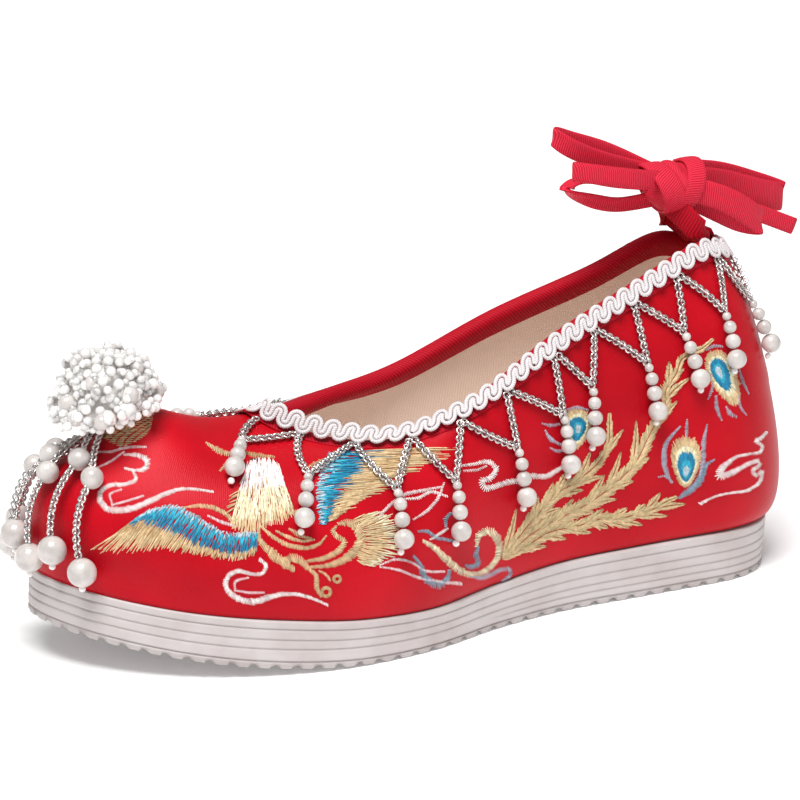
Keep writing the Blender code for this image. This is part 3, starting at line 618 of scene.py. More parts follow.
def sweep(path, guide, half_wide, half_thick, sides, closed=False, squareness=2.0):
    """Points and faces of a bar along a path, its wide side lying across the guide directions."""
    if closed:
        tangent = unit(np.roll(path, -1, axis=0) - np.roll(path, 1, axis=0))
    else:
        tangent = unit(np.gradient(path, axis=0))
    across = unit(np.cross(guide, tangent))
    thick = np.cross(tangent, across)
    angle = np.linspace(0, 2 * np.pi, sides, endpoint=False)
    wide = np.sign(np.cos(angle)) * np.abs(np.cos(angle)) ** (2 / squareness)
    high = np.sign(np.sin(angle)) * np.abs(np.sin(angle)) ** (2 / squareness)
    half_wide = np.broadcast_to(half_wide, len(path))[:, None, None] * MM
    half_thick = np.broadcast_to(half_thick, len(path))[:, None, None] * MM
    points = path[:, None] + across[:, None] * wide[None, :, None] * half_wide
    points = points + thick[:, None] * high[None, :, None] * half_thick
    faces = [grid_faces(len(path), sides, closed, True)]
    if not closed:
        faces.append(np.arange(sides)[None, ::-1])
        faces.append(np.arange(sides)[None] + (len(path) - 1) * sides)
    girth = np.arange(sides) / sides * 2 * (half_wide.max() + half_thick.max()) / MM
    cloth = cloth_grid(run_along(path)[:, None], girth[None])
    return points.reshape(-1, 3), faces, cloth


def joined(bodies):
    """Points, faces and cloth coordinates of several bodies as one."""
    points = []
    groups = {}
    cloths = []
    count = 0
    for vertices, faces, cloth in bodies:
        for group in faces:
            groups.setdefault(np.shape(group)[1], []).append(np.asarray(group) + count)
        points.append(vertices)
        cloths.append(cloth)
        count += len(vertices)
    return np.concatenate(points), [np.concatenate(group) for group in groups.values()], np.concatenate(cloths)


@lru_cache(maxsize=None)
def ball(detail):
    """Points and faces of a ball of radius 1."""
    edit = bmesh.new()
    bmesh.ops.create_icosphere(edit, subdivisions=detail, radius=1.0)
    points = np.array([vertex.co[:] for vertex in edit.verts])
    faces = np.array([[vertex.index for vertex in face.verts] for face in edit.faces])
    edit.free()
    return points, faces


def node_tree(name, inputs):
    """A tree of geometry nodes with named inputs; its own inputs and its end are given back with it."""
    tree = bpy.data.node_groups.new(name, "GeometryNodeTree")
    tree.interface.new_socket("Geometry", in_out="INPUT", socket_type="NodeSocketGeometry")
    for label, kind in inputs:
        tree.interface.new_socket(label, in_out="INPUT", socket_type=kind)
    tree.interface.new_socket("Geometry", in_out="OUTPUT", socket_type="NodeSocketGeometry")
    return tree, add(tree, "NodeGroupInput").outputs, add(tree, "NodeGroupOutput").inputs["Geometry"]


def end_tree(tree, given, result, geometry):
    """Make plain geometry of it, smooth or faceted, with the material."""
    real = add(tree, "GeometryNodeRealizeInstances", links={"Geometry": geometry})
    links = {"Geometry": real.outputs["Geometry"], "Shade Smooth": given["Smooth"]}
    shaded = add(tree, "GeometryNodeSetShadeSmooth", links=links)
    links = {"Geometry": shaded.outputs["Geometry"], "Material": given["Material"]}
    tree.links.new(add(tree, "GeometryNodeSetMaterial", links=links).outputs["Geometry"], result)
    return tree


FINISH_INPUTS = (("Smooth", "NodeSocketBool"), ("Material", "NodeSocketMaterial"))


def make_bead_tree():
    """A ball on each point, of the point's own radius."""
    tree, given, result = node_tree("beads", (("Detail", "NodeSocketInt"), *FINISH_INPUTS))
    bead = add(tree, "GeometryNodeMeshIcoSphere", values={"Radius": 1.0}, links={"Subdivisions": given["Detail"]})
    size = add(tree, "GeometryNodeInputNamedAttribute", {"data_type": "FLOAT"}, {"Name": "size"})
    links = {"Points": given["Geometry"], "Instance": bead.outputs["Mesh"], "Scale": size.outputs["Attribute"]}
    strung = add(tree, "GeometryNodeInstanceOnPoints", links=links)
    return end_tree(tree, given, result, strung.outputs["Instances"])


def make_link_tree():
    """A link of round wire on each point, turned as the point says."""
    sizes = [(label, "NodeSocketFloat") for label in ("Long", "Wide", "Wire")]
    tree, given, result = node_tree("chain_links", (*sizes, *FINISH_INPUTS))
    ring = add(tree, "GeometryNodeCurvePrimitiveCircle", values={"Resolution": 10, "Radius": 1.0})
    stretch = add(tree, "ShaderNodeCombineXYZ", values={"Z": 1.0}, links={"X": given["Long"], "Y": given["Wide"]})
    links = {"Geometry": ring.outputs["Curve"], "Scale": stretch.outputs["Vector"]}
    oval = add(tree, "GeometryNodeTransform", links=links)
    wire = add(tree, "GeometryNodeCurvePrimitiveCircle", values={"Resolution": 5}, links={"Radius": given["Wire"]})
    links = {"Curve": oval.outputs["Geometry"], "Profile Curve": wire.outputs["Curve"]}
    link = add(tree, "GeometryNodeCurveToMesh", links=links)
    turn = add(tree, "GeometryNodeInputNamedAttribute", {"data_type": "QUATERNION"}, {"Name": "turn"})
    links = {"Points": given["Geometry"], "Instance": link.outputs["Mesh"], "Rotation": turn.outputs["Attribute"]}
    strung = add(tree, "GeometryNodeInstanceOnPoints", links=links)
    return end_tree(tree, given, result, strung.outputs["Instances"])


def make_stitch_tree():
    """A thread along each chain of points, as thick as its points say."""
    tree, given, result = node_tree("stitches", (("Thread", "NodeSocketFloat"), *FINISH_INPUTS))
    lines = add(tree, "GeometryNodeMeshToCurve", links={"Mesh": given["Geometry"]})
    thread = add(tree, "GeometryNodeCurvePrimitiveCircle", values={"Resolution": 4},
                 links={"Radius": given["Thread"]})
    size = add(tree, "GeometryNodeInputNamedAttribute", {"data_type": "FLOAT"}, {"Name": "size"})
    links = {"Curve": lines.outputs["Curve"], "Profile Curve": thread.outputs["Curve"],
             "Scale": size.outputs["Attribute"]}
    sewn_lines = add(tree, "GeometryNodeCurveToMesh", values={"Fill Caps": True}, links=links)
    return end_tree(tree, given, result, sewn_lines.outputs["Mesh"])


BEAD_TREE = make_bead_tree()
LINK_TREE = make_link_tree()
STITCH_TREE = make_stitch_tree()
FIELDS = {"FLOAT": "value", "QUATERNION": "value", "FLOAT_COLOR": "color"}
Own = namedtuple("Own", "name kind values")


def grown(tree, points, owns, settings, edges=()):
    """Plain mesh that a tree makes from points, what they say of themselves, and its named inputs."""
    seed = bpy.data.meshes.new("seed")
    seed.from_pydata(np.asarray(points).tolist(), edges, [])
    for own in owns:
        layer = seed.attributes.new(own.name, own.kind, "POINT")
        layer.data.foreach_set(FIELDS[own.kind], np.asarray(own.values, np.float32).ravel())
    holder = bpy.data.objects.new("seed", seed)
    bpy.context.scene.collection.objects.link(holder)
    modifier = holder.modifiers.new("grow", "NODES")
    for socket in tree.interface.items_tree:
        if socket.in_out == "INPUT" and socket.name in settings:
            settings[socket.identifier] = settings.pop(socket.name)
    modifier.node_group = tree
    for identifier, value in settings.items():
        modifier[identifier] = value
    made = bpy.data.meshes.new_from_object(holder.evaluated_get(bpy.context.evaluated_depsgraph_get()))
    holder.modifiers.remove(modifier)
    bpy.data.objects.remove(holder)
    bpy.data.meshes.remove(seed)
    return made


def beads(centres, radii, detail, look, smooth=True):
    """Balls of their own radii in millimetres."""
    own = Own("size", "FLOAT", np.asarray(radii) * MM)
    return grown(BEAD_TREE, centres, [own], {"Detail": detail, "Smooth": smooth, "Material": look})


def chain(centres, frames):
    """Links of chain in their frames of axes."""
    turns = [Matrix(axes).to_quaternion() for axes in frames]
    sizes = {"Long": LINK_LONG * MM, "Wide": LINK_WIDE * MM, "Wire": LINK_WIRE * MM}
    own = Own("turn", "QUATERNION", turns)
    return grown(LINK_TREE, centres, [own], {**sizes, "Smooth": True, "Material": CHAIN})


def chain_links(path, normals):
    """Frames and places of links along a path, every other one turned upright."""
    runs = run_along(path)
    count = max(int(runs[-1] / LINK_PITCH), 1)
    at = (np.arange(count) + 0.5) * runs[-1] / count
    centres = between(at, runs, path)
    tangent = unit(np.gradient(centres, axis=0))
    normal = unit(between(at, runs, normals))
    side = unit(np.cross(normal, tangent))
    normal = np.cross(tangent, side)
    odd = (np.arange(count) % 2 == 1)[:, None]
    wide = np.where(odd, normal, side)
    thin = np.where(odd, -side, normal)
    return centres, np.stack([tangent, wide, thin], axis=-1)


def pixels(points):
    """Where points fall on the photo."""
    away = np.asarray(points) / MM - AIM
    scale = PX_PER_MM * AWAY / (AWAY + away @ AHEAD)
    return np.stack([AIM_PX[0] + away @ RIGHT * scale, AIM_PX[1] - away @ ABOVE * scale], axis=-1)


def spline(at, knots, values):
    """Read a table at any place with a smooth cubic through its rows."""
    knots = np.asarray(knots, float)
    values = np.asarray(values, float)
    slopes = np.gradient(values, knots)
    low = np.clip(np.searchsorted(knots, at) - 1, 0, len(knots) - 2)
    step = knots[low + 1] - knots[low]
    u = (at - knots[low]) / step
    start = (2 * u**3 - 3 * u**2 + 1) * values[low] + (u**3 - 2 * u**2 + u) * step * slopes[low]
    end = (3 * u**2 - 2 * u**3) * values[low + 1] + (u**3 - u**2) * step * slopes[low + 1]
    return start + end


def ease(x):
    """Smooth step from 0 to 1."""
    x = np.clip(x, 0.0, 1.0)
    return x * x * (3 - 2 * x)


def rib(q, column):
    """Read a column of the rib table, mirrored past heel and toe so that it runs on smoothly there."""
    values = np.array([getattr(row, column) for row in RIBS])
    sign = -1.0 if column == "rim_half" else 1.0
    values = np.concatenate([[sign * values[1]], values, [sign * values[-2]]])
    knots = np.linspace(-0.1, 1.1, len(values))
    return spline(q, knots, values)


def swing(along):
    """How far the sole's middle line lies to the inner side."""
    return SWING * np.clip((along - SWING_START) / (LENGTH - SWING_START), 0, None) ** 2


def lift(along):
    """Height of the sole's underside off the floor."""
    return SPRING * np.clip((along - SPRING_START) / (LENGTH - SPRING_START), 0, None) ** 2


def depth(along):
    """Thickness of the sole."""
    return spline(along, [row.along for row in SOLE], [row.depth for row in SOLE])


def halves(ring):
    """Way from heel to toe, and which side: -1 outer, 1 inner."""
    return np.where(ring <= 1, ring, 2 - ring), np.where(ring <= 1, -1.0, 1.0)


def outline(ring, inset):
    """Plan of the sole at places round it: 0 heel, 1 toe over the outer side, 2 heel again over the inner."""
    q, side = halves(ring)
    full = LENGTH * (1 - np.cos(np.pi * q)) / 2
    along = inset + full * (LENGTH - 2 * inset) / LENGTH
    knots = [row.along for row in SOLE]
    outer = spline(full, knots, [row.outer for row in SOLE])
    inner = spline(full, knots, [row.inner for row in SOLE])
    half = np.where(side < 0, outer, inner) - inset
    toe_round = np.where(side < 0, TOE_ROUND_OUTER, TOE_ROUND_INNER)
    back = np.clip(1 - full / HEEL_ROUND, 0, 1)
    front = np.clip(1 - (LENGTH - full) / toe_round, 0, 1)
    half = half * (1 - back**HEEL_POWER) ** (1 / HEEL_POWER) * np.sqrt(1 - front**2)
    return along, swing(along) + side * half


def outward(ring):
    """Outward direction of the plan at places round it."""
    step = 0.004
    ahead = outline((ring + step) % 2, 0.0)
    behind = outline((ring - step) % 2, 0.0)
    run_along = ahead[0] - behind[0]
    run_across = ahead[1] - behind[1]
    size = np.hypot(run_along, run_across)
    return run_across / size, -run_along / size


def seat_height(along):
    """Height at which the upper sits on the sole."""
    return lift(along) + depth(along)


def rib_curve(ring, turn):
    """Outer face of the upper in metres: ring goes round it, turn from 0 at the sole to 1 at the collar."""
    q, side = halves(ring)
    base_along, base_across = outline(ring, SEAT)
    base_height = seat_height(base_along) + GAP
    rim_along = rib(q, "rim_along")
    rim_across = side * rib(q, "rim_half") + swing(rim_along)
    power = 2 / rib(q, "power")
    last = RIM_TURN * np.pi / 2
    rest = np.cos(last) ** power
    run = (np.cos(turn * last) ** power - rest) / (1 - rest)
    rise = (np.sin(turn * last) / np.sin(last)) ** power
    out_along, out_across = outward(ring)
    swell = rib(q, "swell") * np.sin(np.pi * turn**SWELL_SKEW)
    along = rim_along + (base_along - rim_along) * run + out_along * swell
    across = rim_across + (base_across - rim_across) * run + out_across * swell
    rim_height = rib(q, "rim_height") - np.where(side > 0, rib(q, "inner_drop"), 0.0)
    height = base_height + (rim_height - base_height) * rise
    near_peak = ((along - PEAK_ALONG) / PEAK_LONG) ** 2 + ((across - swing(along)) / PEAK_WIDE) ** 2
    height = height + PEAK_RISE * np.exp(-near_peak) * rise**2
    return np.stack([MIDDLE - along, across, height], axis=-1) * MM


@lru_cache(maxsize=None)
def rib_runs(place):
    """Length along one rib from the sole up, at even steps of its turn."""
    turns = np.linspace(0, 1, RUN_STEPS)
    column = rib_curve(np.full_like(turns, place), turns)
    steps = np.linalg.norm(np.diff(column, axis=0), axis=1)
    return turns, np.concatenate([[0.0], np.cumsum(steps)])


def shell(ring, t):
    """Outer face of the upper with t as the share of the rib's length, so that rows are evenly spaced."""
    ring, t = np.broadcast_arrays(np.asarray(ring, float) % 2, np.asarray(t, float))
    turn = []
    for place, share in zip(ring.ravel(), t.ravel()):
        turns, runs = rib_runs(place)
        turn.append(np.interp(share * runs[-1], runs, turns))
    return rib_curve(ring, np.array(turn).reshape(ring.shape))


def rib_length(ring):
    """Length of each rib in millimetres."""
    return np.array([rib_runs(place)[1][-1] / MM for place in np.atleast_1d(ring) % 2])


def shell_normal(ring, t):
    """Outward unit normal of the upper's outer face."""
    step = 0.01
    round_it = shell((ring + step) % 2, t) - shell((ring - step) % 2, t)
    up = shell(ring, np.minimum(t + step, 1.0)) - shell(ring, np.maximum(t - step, 0.0))
    return unit(np.cross(up, round_it))


def sink(ring):
    """How much lower the braid and its fringe lie, at places round the collar."""
    return INNER_SINK * np.sin(np.pi * np.clip(np.atleast_1d(ring) % 2 - 1, 0, 1))


def collar_frame(ring):
    """Edge of the collar with the directions up its wall and out from it."""
    edge = shell(ring, 1.0)
    up = unit(edge - shell(ring, 1 - 1 / RIB_ROWS))
    step = 1 / HALF_COLUMNS
    round_it = shell((ring + step) % 2, 1.0) - shell((ring - step) % 2, 1.0)
    return edge, up, unit(np.cross(up, round_it))


def collar_section(ring, corner):
    """A corner of a section at the collar, laid to the flats between the upper's two highest rows."""
    edge, up, out = collar_frame(ring)
    return edge + (out * corner.out - up * corner.below) * MM


def build_outsole():
    """Rubber sole with rounded edges, the grooves of its side and the nicks of its tread, with shade painted into
    its grooves, nicks and foot.
    """
    ring = np.linspace(0, 2, SOLE_COLUMNS, endpoint=False)
    along, across = outline(ring, 0.0)
    out_along, out_across = outward(ring)
    deep = depth(along)
    toward_toe = along / LENGTH
    heel_share = ease((HEEL_GROOVE_END - along) / HEEL_GROOVE_FADE)
    taper = TAPER_HEEL + (TAPER_TOE - TAPER_HEEL) * toward_toe
    edge_run = run_along(np.stack([along, across, 0 * along], axis=-1) * MM)
    saw = (edge_run / NOTCH_PITCH) % 1
    nick = ease((saw - NOTCH_START) / NOTCH_RAMP) * ease((1 - saw) / NOTCH_END)
    rows = []
    shades = []
    for share in np.linspace(0, 1, SOLE_ROWS):
        up = share * deep
        inset = taper * share
        inset = inset + EDGE * (1 - np.sqrt(1 - np.clip(1 - up / EDGE, 0, 1) ** 2))
        inset = inset + TOP_EDGE * (1 - np.sqrt(1 - np.clip(1 - (deep - up) / TOP_EDGE, 0, 1) ** 2))
        shade = np.zeros_like(along)
        for groove in GROOVES:
            centre = groove.heel + (groove.toe - groove.heel) * toward_toe
            there = np.exp(-(((share - centre) * deep / GROOVE_SIGMA) ** 2))
            there = there * (heel_share if groove.name == "heel_only" else 1.0)
            inset = inset + GROOVE_SHARE * groove.deep * there
            # painted shade in each groove
            shade = np.maximum(shade, there * (TREAD_PAINTED_SHADE if groove.name == "tread" else GROOVE_PAINTED_SHADE))
        fade = np.clip(1 - up / NOTCH_REACH, 0, 1)
        height = lift(along) + up + NOTCH_RISE * nick * fade
        row = [MIDDLE - (along - out_along * inset), across - out_across * inset, height]
        rows.append(np.stack(row, axis=-1) * MM)
        # painted shade along the foot, deepest in the nicks
        foot_shade = FOOT_PAINTED_SHADE + (1 - FOOT_PAINTED_SHADE) * nick
        shades.append(np.maximum(shade, ease((FOOT_HIGH - up) / FOOT_FADE) * foot_shade))
    # the rubber's colour mixed with the painted shade
    shade = np.concatenate(shades)[:, None]
    tint = srgb(SOLE_PALE) * (1 - shade) + srgb(SOLE_PAINTED_SHADE) * shade
    half = SOLE_COLUMNS // 2
    across_it = rungs(SOLE_COLUMNS)
    top = (SOLE_ROWS - 1) * SOLE_COLUMNS
    ends = np.array([[0, 1, SOLE_COLUMNS - 1], [half - 1, half, half + 1]])
    sides = grid_faces(SOLE_ROWS, SOLE_COLUMNS, False, True)[:, ::-1]
    faces = [np.concatenate([sides, across_it, across_it[:, ::-1] + top]),
             np.concatenate([ends, ends[:, ::-1] + top])]
    piece("sole_rubber", np.concatenate(rows), faces, [RUBBER], ["outsole"], tint=tint)


Crease = namedtuple("Crease", "start_x start_y end_x end_y deep wide")
CREASES = (
    Crease(742, 300, 768, 372, -0.35, 9),
    Crease(96, 560, 150, 592, 0.30, 12),
    Crease(205, 545, 250, 596, 0.22, 12),
    Crease(215, 432, 296, 452, 0.25, 12),
    Crease(430, 560, 520, 545, 0.25, 12),
    Crease(600, 530, 730, 512, 0.25, 12),
    Crease(560, 475, 660, 420, 0.20, 14),
    Crease(690, 410, 752, 470, 0.20, 12),
)
STRIP_HALF = 11.0             # half width of the strip sewn up the back of the heel
STRIP_RISE = 0.45
STRIP_SOFT = 0.9              # width of its rounded edge
STRIP_FROM = 60.0             # the strip lies behind this place


def near_segment(points, crease):
    """Distance on the photo from a crease."""
    start = np.array([crease.start_x, crease.start_y])
    run = np.array([crease.end_x, crease.end_y]) - start
    share = np.clip((points - start) @ run / (run @ run), 0, 1)
    return np.linalg.norm(points - start - share[..., None] * run, axis=-1)


FACE_RING = np.linspace(0, 2, FACE_COLUMNS + 1)
FACE_T = np.linspace(0, 1, FACE_ROWS)


def make_face():
    """Points and normals of the upper's outer face with its soft creases and heel strip."""
    ring, t = np.meshgrid(FACE_RING, FACE_T, indexing="ij")
    points = shell(ring, t)
    up = np.gradient(points, axis=1)
    wrapped = np.concatenate([points[-3:-1], points, points[1:3]])
    round_it = np.gradient(wrapped, axis=0)[2:-2]
    normals = unit(np.cross(up, round_it))
    outer = np.where(ring[..., None] <= 1, points, points[::-1])
    seen = pixels(outer)
    relief = np.zeros(ring.shape)
    for crease in CREASES:
        relief = relief - crease.deep * np.exp(-((near_segment(seen, crease) / crease.wide) ** 2))
    back = points[..., 0] > STRIP_FROM * MM
    relief = relief + STRIP_RISE * ease((STRIP_HALF - np.abs(points[..., 1]) / MM) / STRIP_SOFT) * back
    return points + normals * relief[..., None] * MM, normals


FACE, FACE_NORMALS = make_face()


def read_face(table, ring, t):
    """Read a table of the face between its points."""
    at_ring = np.clip((np.asarray(ring) % 2) / 2 * FACE_COLUMNS, 0, FACE_COLUMNS - 1e-6)
    at_t = np.clip(np.asarray(t) * (FACE_ROWS - 1), 0, FACE_ROWS - 1 - 1e-6)
    i = at_ring.astype(int)
    j = at_t.astype(int)
    a = (at_ring - i)[..., None]
    b = (at_t - j)[..., None]
    low = table[i, j] * (1 - a) + table[i + 1, j] * a
    high = table[i, j + 1] * (1 - a) + table[i + 1, j + 1] * a
    return low * (1 - b) + high * b


def build_upper():
    """Satin outside and linen inside of one wall."""
    outer = FACE[:-1]
    inner_t = np.linspace(1, 0, LINING_ROWS)
    ring = np.broadcast_to(FACE_RING[:-1, None], (FACE_COLUMNS, LINING_ROWS))
    t = np.broadcast_to(inner_t[None], ring.shape)
    inner = read_face(FACE, ring, t) - unit(read_face(FACE_NORMALS, ring, t)) * WALL * MM
    points = np.concatenate([outer, inner], axis=1)
    total = points.shape[1]
    faces = grid_faces(FACE_COLUMNS, total, True, True)
    up_run = np.concatenate([[0.0], np.cumsum(np.linalg.norm(np.diff(points, axis=1), axis=-1).mean(axis=0))]) / MM
    round_run = run_along(points[:, FACE_ROWS // 2])
    cloth = cloth_grid(round_run[:, None], up_run[None])
    row = np.tile(np.arange(total), FACE_COLUMNS)
    lining = (row >= FACE_ROWS - 1) & (row < total - 1)
    piece("upper_satin_and_lining", points.reshape(-1, 3), [faces], [SATIN, LINEN], ["upper"],
          cloth=cloth, which=lining)


def shell_inside(ring, height, clear):
    """Points on the upper's inner face at given heights, moved in by a clearance."""
    steps = np.linspace(0, INSIDE_TOP, INSIDE_STEPS)
    found = []
    for place, level in zip(ring, height):
        column = rib_curve(np.full_like(steps, place), steps)
        point = [np.interp(level * MM, column[:, 2], column[:, axis]) for axis in (0, 1)]
        out_along, out_across = outward(np.array([place]))
        move = (WALL + clear) * MM
        found.append((point[0] + out_along[0] * move, point[1] - out_across[0] * move, level * MM))
    return np.array(found)


FOOTBED_COLUMNS = 160
FOOTBED_LEVELS = (0.0, 0.5, 1.0)              # up the edge
FOOTBED_SHARES = (0.1, 0.3, 0.55, 0.8, 0.97)  # from the edge to the spine
FOOTBED_CUP = 1.0
SPINE_PLACES = (-0.12, 0.0, 0.12)             # metres, from toe to heel
SPINE_SWING = (0.008, 0.0, 0.0)


def build_insole():
    """Linen footbed, cupped a little under the heel and the ball."""
    count = FOOTBED_COLUMNS
    ring = np.linspace(0, 2, count, endpoint=False)
    along, _ = outline(ring, SEAT)
    floor = seat_height(along) + GAP
    thick = FOOTBED + WEDGE * ease((WEDGE_FRONT - along) / (WEDGE_FRONT - WEDGE_BACK))
    rows = [shell_inside(ring, floor + share * thick, 2 * GAP) for share in FOOTBED_LEVELS]
    rim = rows[-1]
    spine = np.stack([rim[:, 0], np.interp(rim[:, 0], SPINE_PLACES, SPINE_SWING), rim[:, 2]], axis=-1)
    for share in FOOTBED_SHARES:
        level = rim + (spine - rim) * share
        level[:, 2] -= FOOTBED_CUP * MM * ease(share)
        rows.append(level)
    points = np.concatenate(rows)
    cloth = points[:, :2] / MM
    faces = grid_faces(len(rows), count, False, True)[:, ::-1]
    faces = np.concatenate([faces, rungs(count), rungs(count)[:, ::-1] + (len(rows) - 1) * count])
    piece("linen_footbed", points, [faces], [LINEN], ["insole"], cloth=cloth)


# Section of the rolled tape: below the collar's edge and out from the wall
TAPE_SECTION = ((5.0, 0.8), (5.1, 1.5), (2.5, 1.7), (0.3, 1.65), (-1.2, 1.1), (-2.0, 0.1), (-2.2, -1.0),
                (-2.0, -2.1),
                (-1.2, -3.1), (0.3, -3.75), (2.8, -3.9), (5.2, -3.8), (5.7, -3.25), (5.2, -2.75), (2.0, -2.6),
                (-0.5, -2.45), (-0.8, -1.0), (-0.5, 0.6), (2.0, 0.75))
TAPE_FINE = 3                 # steps between corners of the section
TAPE_RUN_ROW = 9              # the row along which the tape's length is counted
TAPE_RINGS = (0.0, 0.08, 0.2, 0.85, 0.98, 1.06, 1.3, 1.55, 2.0)
TAPE_RISES = (0.0, -0.4, -1.2, -1.2, 0.0, 0.4, 0.4, 0.0, 0.0)     # how much higher the tape stands


def build_binding():
    """Rolled twill tape over the collar's edge."""
    ring = np.linspace(0, 2, COLLAR_COLUMNS, endpoint=False)
    section = np.array(TAPE_SECTION + TAPE_SECTION[:1])
    fine = np.linspace(0, len(section) - 1, TAPE_FINE * (len(section) - 1), endpoint=False)
    knots = np.arange(len(section))
    below = spline(fine, knots, section[:, 0])
    out = spline(fine, knots, section[:, 1])
    rise = np.interp(ring, TAPE_RINGS, TAPE_RISES)[:, None] * np.array([0, 0, MM])
    rows = [collar_section(ring, Corner(b, o)) + rise for b, o in zip(below, out)]
    points = np.stack(rows)
    run = run_along(points[TAPE_RUN_ROW])
    girth = np.concatenate([[0.0], np.cumsum(np.hypot(np.diff(below), np.diff(out)))])
    cloth = cloth_grid(run[None], girth[:, None])
    faces = grid_faces(len(rows), COLLAR_COLUMNS, True, True)[:, ::-1]
    piece("collar_tape", points.reshape(-1, 3), [faces], [TAPE], ["collar_binding"], cloth=cloth)


# Lie of the braid: how much lower it is on the inner side, how upright in front, how far out
LOWER_RINGS = (1.0, 1.08, 1.6, 1.75)
LOWER = (0.0, 2.2, 2.2, 1.2)
UPRIGHT_RINGS = (0.5, 0.75, 0.92, 1.0)
UPRIGHT = (0.0, 0.6, 0.6, 0.0)
OFF_RINGS = (0.97, 1.05, 1.5, 1.65)
OFF = (BRAID_OUT, 1.1, 1.1, BRAID_OUT)
BRAID_FINE = 1600
PLY_SIDES = 8


def braid_wave():
    """One wave of the braid: a leg up, a bend, a leg down and a bend, in millimetres along and across."""
    bend = WAVE_LONG / 4
    reach = WAVE_HALF - bend
    leg = np.linspace(-reach, reach, WAVE_STEPS, endpoint=False)
    turn = np.linspace(0, np.pi, WAVE_STEPS, endpoint=False)
    along = [0 * leg - bend, -bend * np.cos(turn), 0 * leg + bend, 2 * bend - bend * np.cos(turn)]
    across = [leg, reach + bend * np.sin(turn), -leg, -reach - bend * np.sin(turn)]
    return np.concatenate(along), np.concatenate(across)


def build_braid():
    """Two plies side by side, laid in waves round the collar."""
    ring = np.linspace(0, 2, BRAID_FINE)
    edge, up, out = collar_frame(ring)
    below = BRAID_BELOW + sink(ring) + np.interp(ring, LOWER_RINGS, LOWER)
    upright = np.interp(ring, UPRIGHT_RINGS, UPRIGHT)[:, None]
    off = np.interp(ring, OFF_RINGS, OFF)[:, None]
    foot = edge + (out * off - up * (below + WAVE_HALF)[:, None]) * MM
    up = unit(up * (1 - upright) + np.array([0, 0, 1.0]) * upright)
    line = foot + up * WAVE_HALF * MM
    out = unit(np.cross(up, np.gradient(line, axis=0)))
    runs = run_along(line)
    count = round(runs[-1] / WAVE_LONG)
    wave_along, wave_across = braid_wave()
    along = (np.arange(count)[:, None] + wave_along[None] / WAVE_LONG).ravel() * runs[-1] / count
    across = np.tile(wave_across, count)
    along = along % runs[-1]
    middle = between(along, runs, line) + between(along, runs, up) * across[:, None] * MM
    normal = unit(between(along, runs, out))
    course = unit(np.roll(middle, -1, axis=0) - np.roll(middle, 1, axis=0))
    side = unit(np.cross(normal, course))
    bodies = []
    for offset in (-PLY_APART, PLY_APART):
        bodies.append(sweep(middle + side * offset * MM, normal, PLY_RADIUS, PLY_THICK, PLY_SIDES, True))
    points, faces, cloth = joined(bodies)
    piece("soutache_braid", points, faces, [BRAID], ["gimp_braid"], cloth=cloth)


WALK_RING = 0.004             # steps over which the face's slope is read
WALK_T = 0.01


def walk(ring, t, heading, length):
    """Places at each millimetre of a walk over the upper that keeps to a heading as near as its face allows."""
    places = [(ring, t)]
    for _ in range(int(np.ceil(length)) + 1):
        round_it = (shell(ring + WALK_RING, t) - shell(ring - WALK_RING, t)) / (2 * WALK_RING)
        up = (shell(ring, t + WALK_T) - shell(ring, t - WALK_T)) / (2 * WALK_T)
        normal = unit(np.cross(up, round_it))
        course = unit(heading - normal * (heading @ normal)) * MM
        step = np.linalg.lstsq(np.stack([round_it, up], axis=1), course, rcond=None)[0]
        ring = ring + step[0]
        t = t + step[1]
        places.append((ring, t))
    return np.array(places)


def off_face(ring, t, out):
    """Points and normals off the upper's face."""
    normal = unit(read_face(FACE_NORMALS, ring, t))
    return read_face(FACE, ring, t) + normal * np.reshape(out, (-1, 1)) * MM, normal


def drop_parts(first, last, drop):
    """Chain links, pearls and end bead of one vee."""
    middle = first + (last - first) * drop.share
    ends = np.array([first + (last - first) * CHAIN_APART, last + (first - last) * CHAIN_APART])
    heights = 1 - (CHAIN_TOP + sink(ends)) / rib_length(ends)
    start = 1 - (CHAIN_TOP + sink(middle)[0]) / rib_length(middle)[0]
    along = np.diff(shell(ends, heights), axis=0)[0]
    down = np.cross(along, shell_normal(np.array([middle % 2]), np.array([start]))[0])
    down = down * np.sign(shell(middle, start - 0.05) @ down - shell(middle, start) @ down)
    course = walk(middle, start, unit(down), drop.fall)
    apex = between(drop.fall, np.arange(len(course)), course)
    links = []
    for end, height in zip(ends, heights):
        share = np.linspace(CHAIN_TUCK, 1, CHAIN_STEPS)
        ring = end * (1 - share) + apex[0] * share
        t = np.minimum(height * (1 - share) + apex[1] * share, 1.0)
        path, normal = off_face(ring, t, CHAIN_RADIUS + DROP_CLEAR)
        links.append(chain_links(path, normal))
    radii = np.array(DROP_BEADS) * BEAD_SHARE
    at = np.cumsum(2 * radii) - radii
    tail = at[-1] + radii[-1] + DROP_TAIL * SEED
    fall = walk(apex[0], apex[1], np.array([drop.lean, 0.0, -1.0]), tail)
    sizes = np.append(radii, SEED)
    at = np.append(at, tail)
    ring, t = between(at, np.arange(len(fall)), fall).T
    centres, _ = off_face(ring, t, sizes + DROP_CLEAR)
    return links, centres, sizes


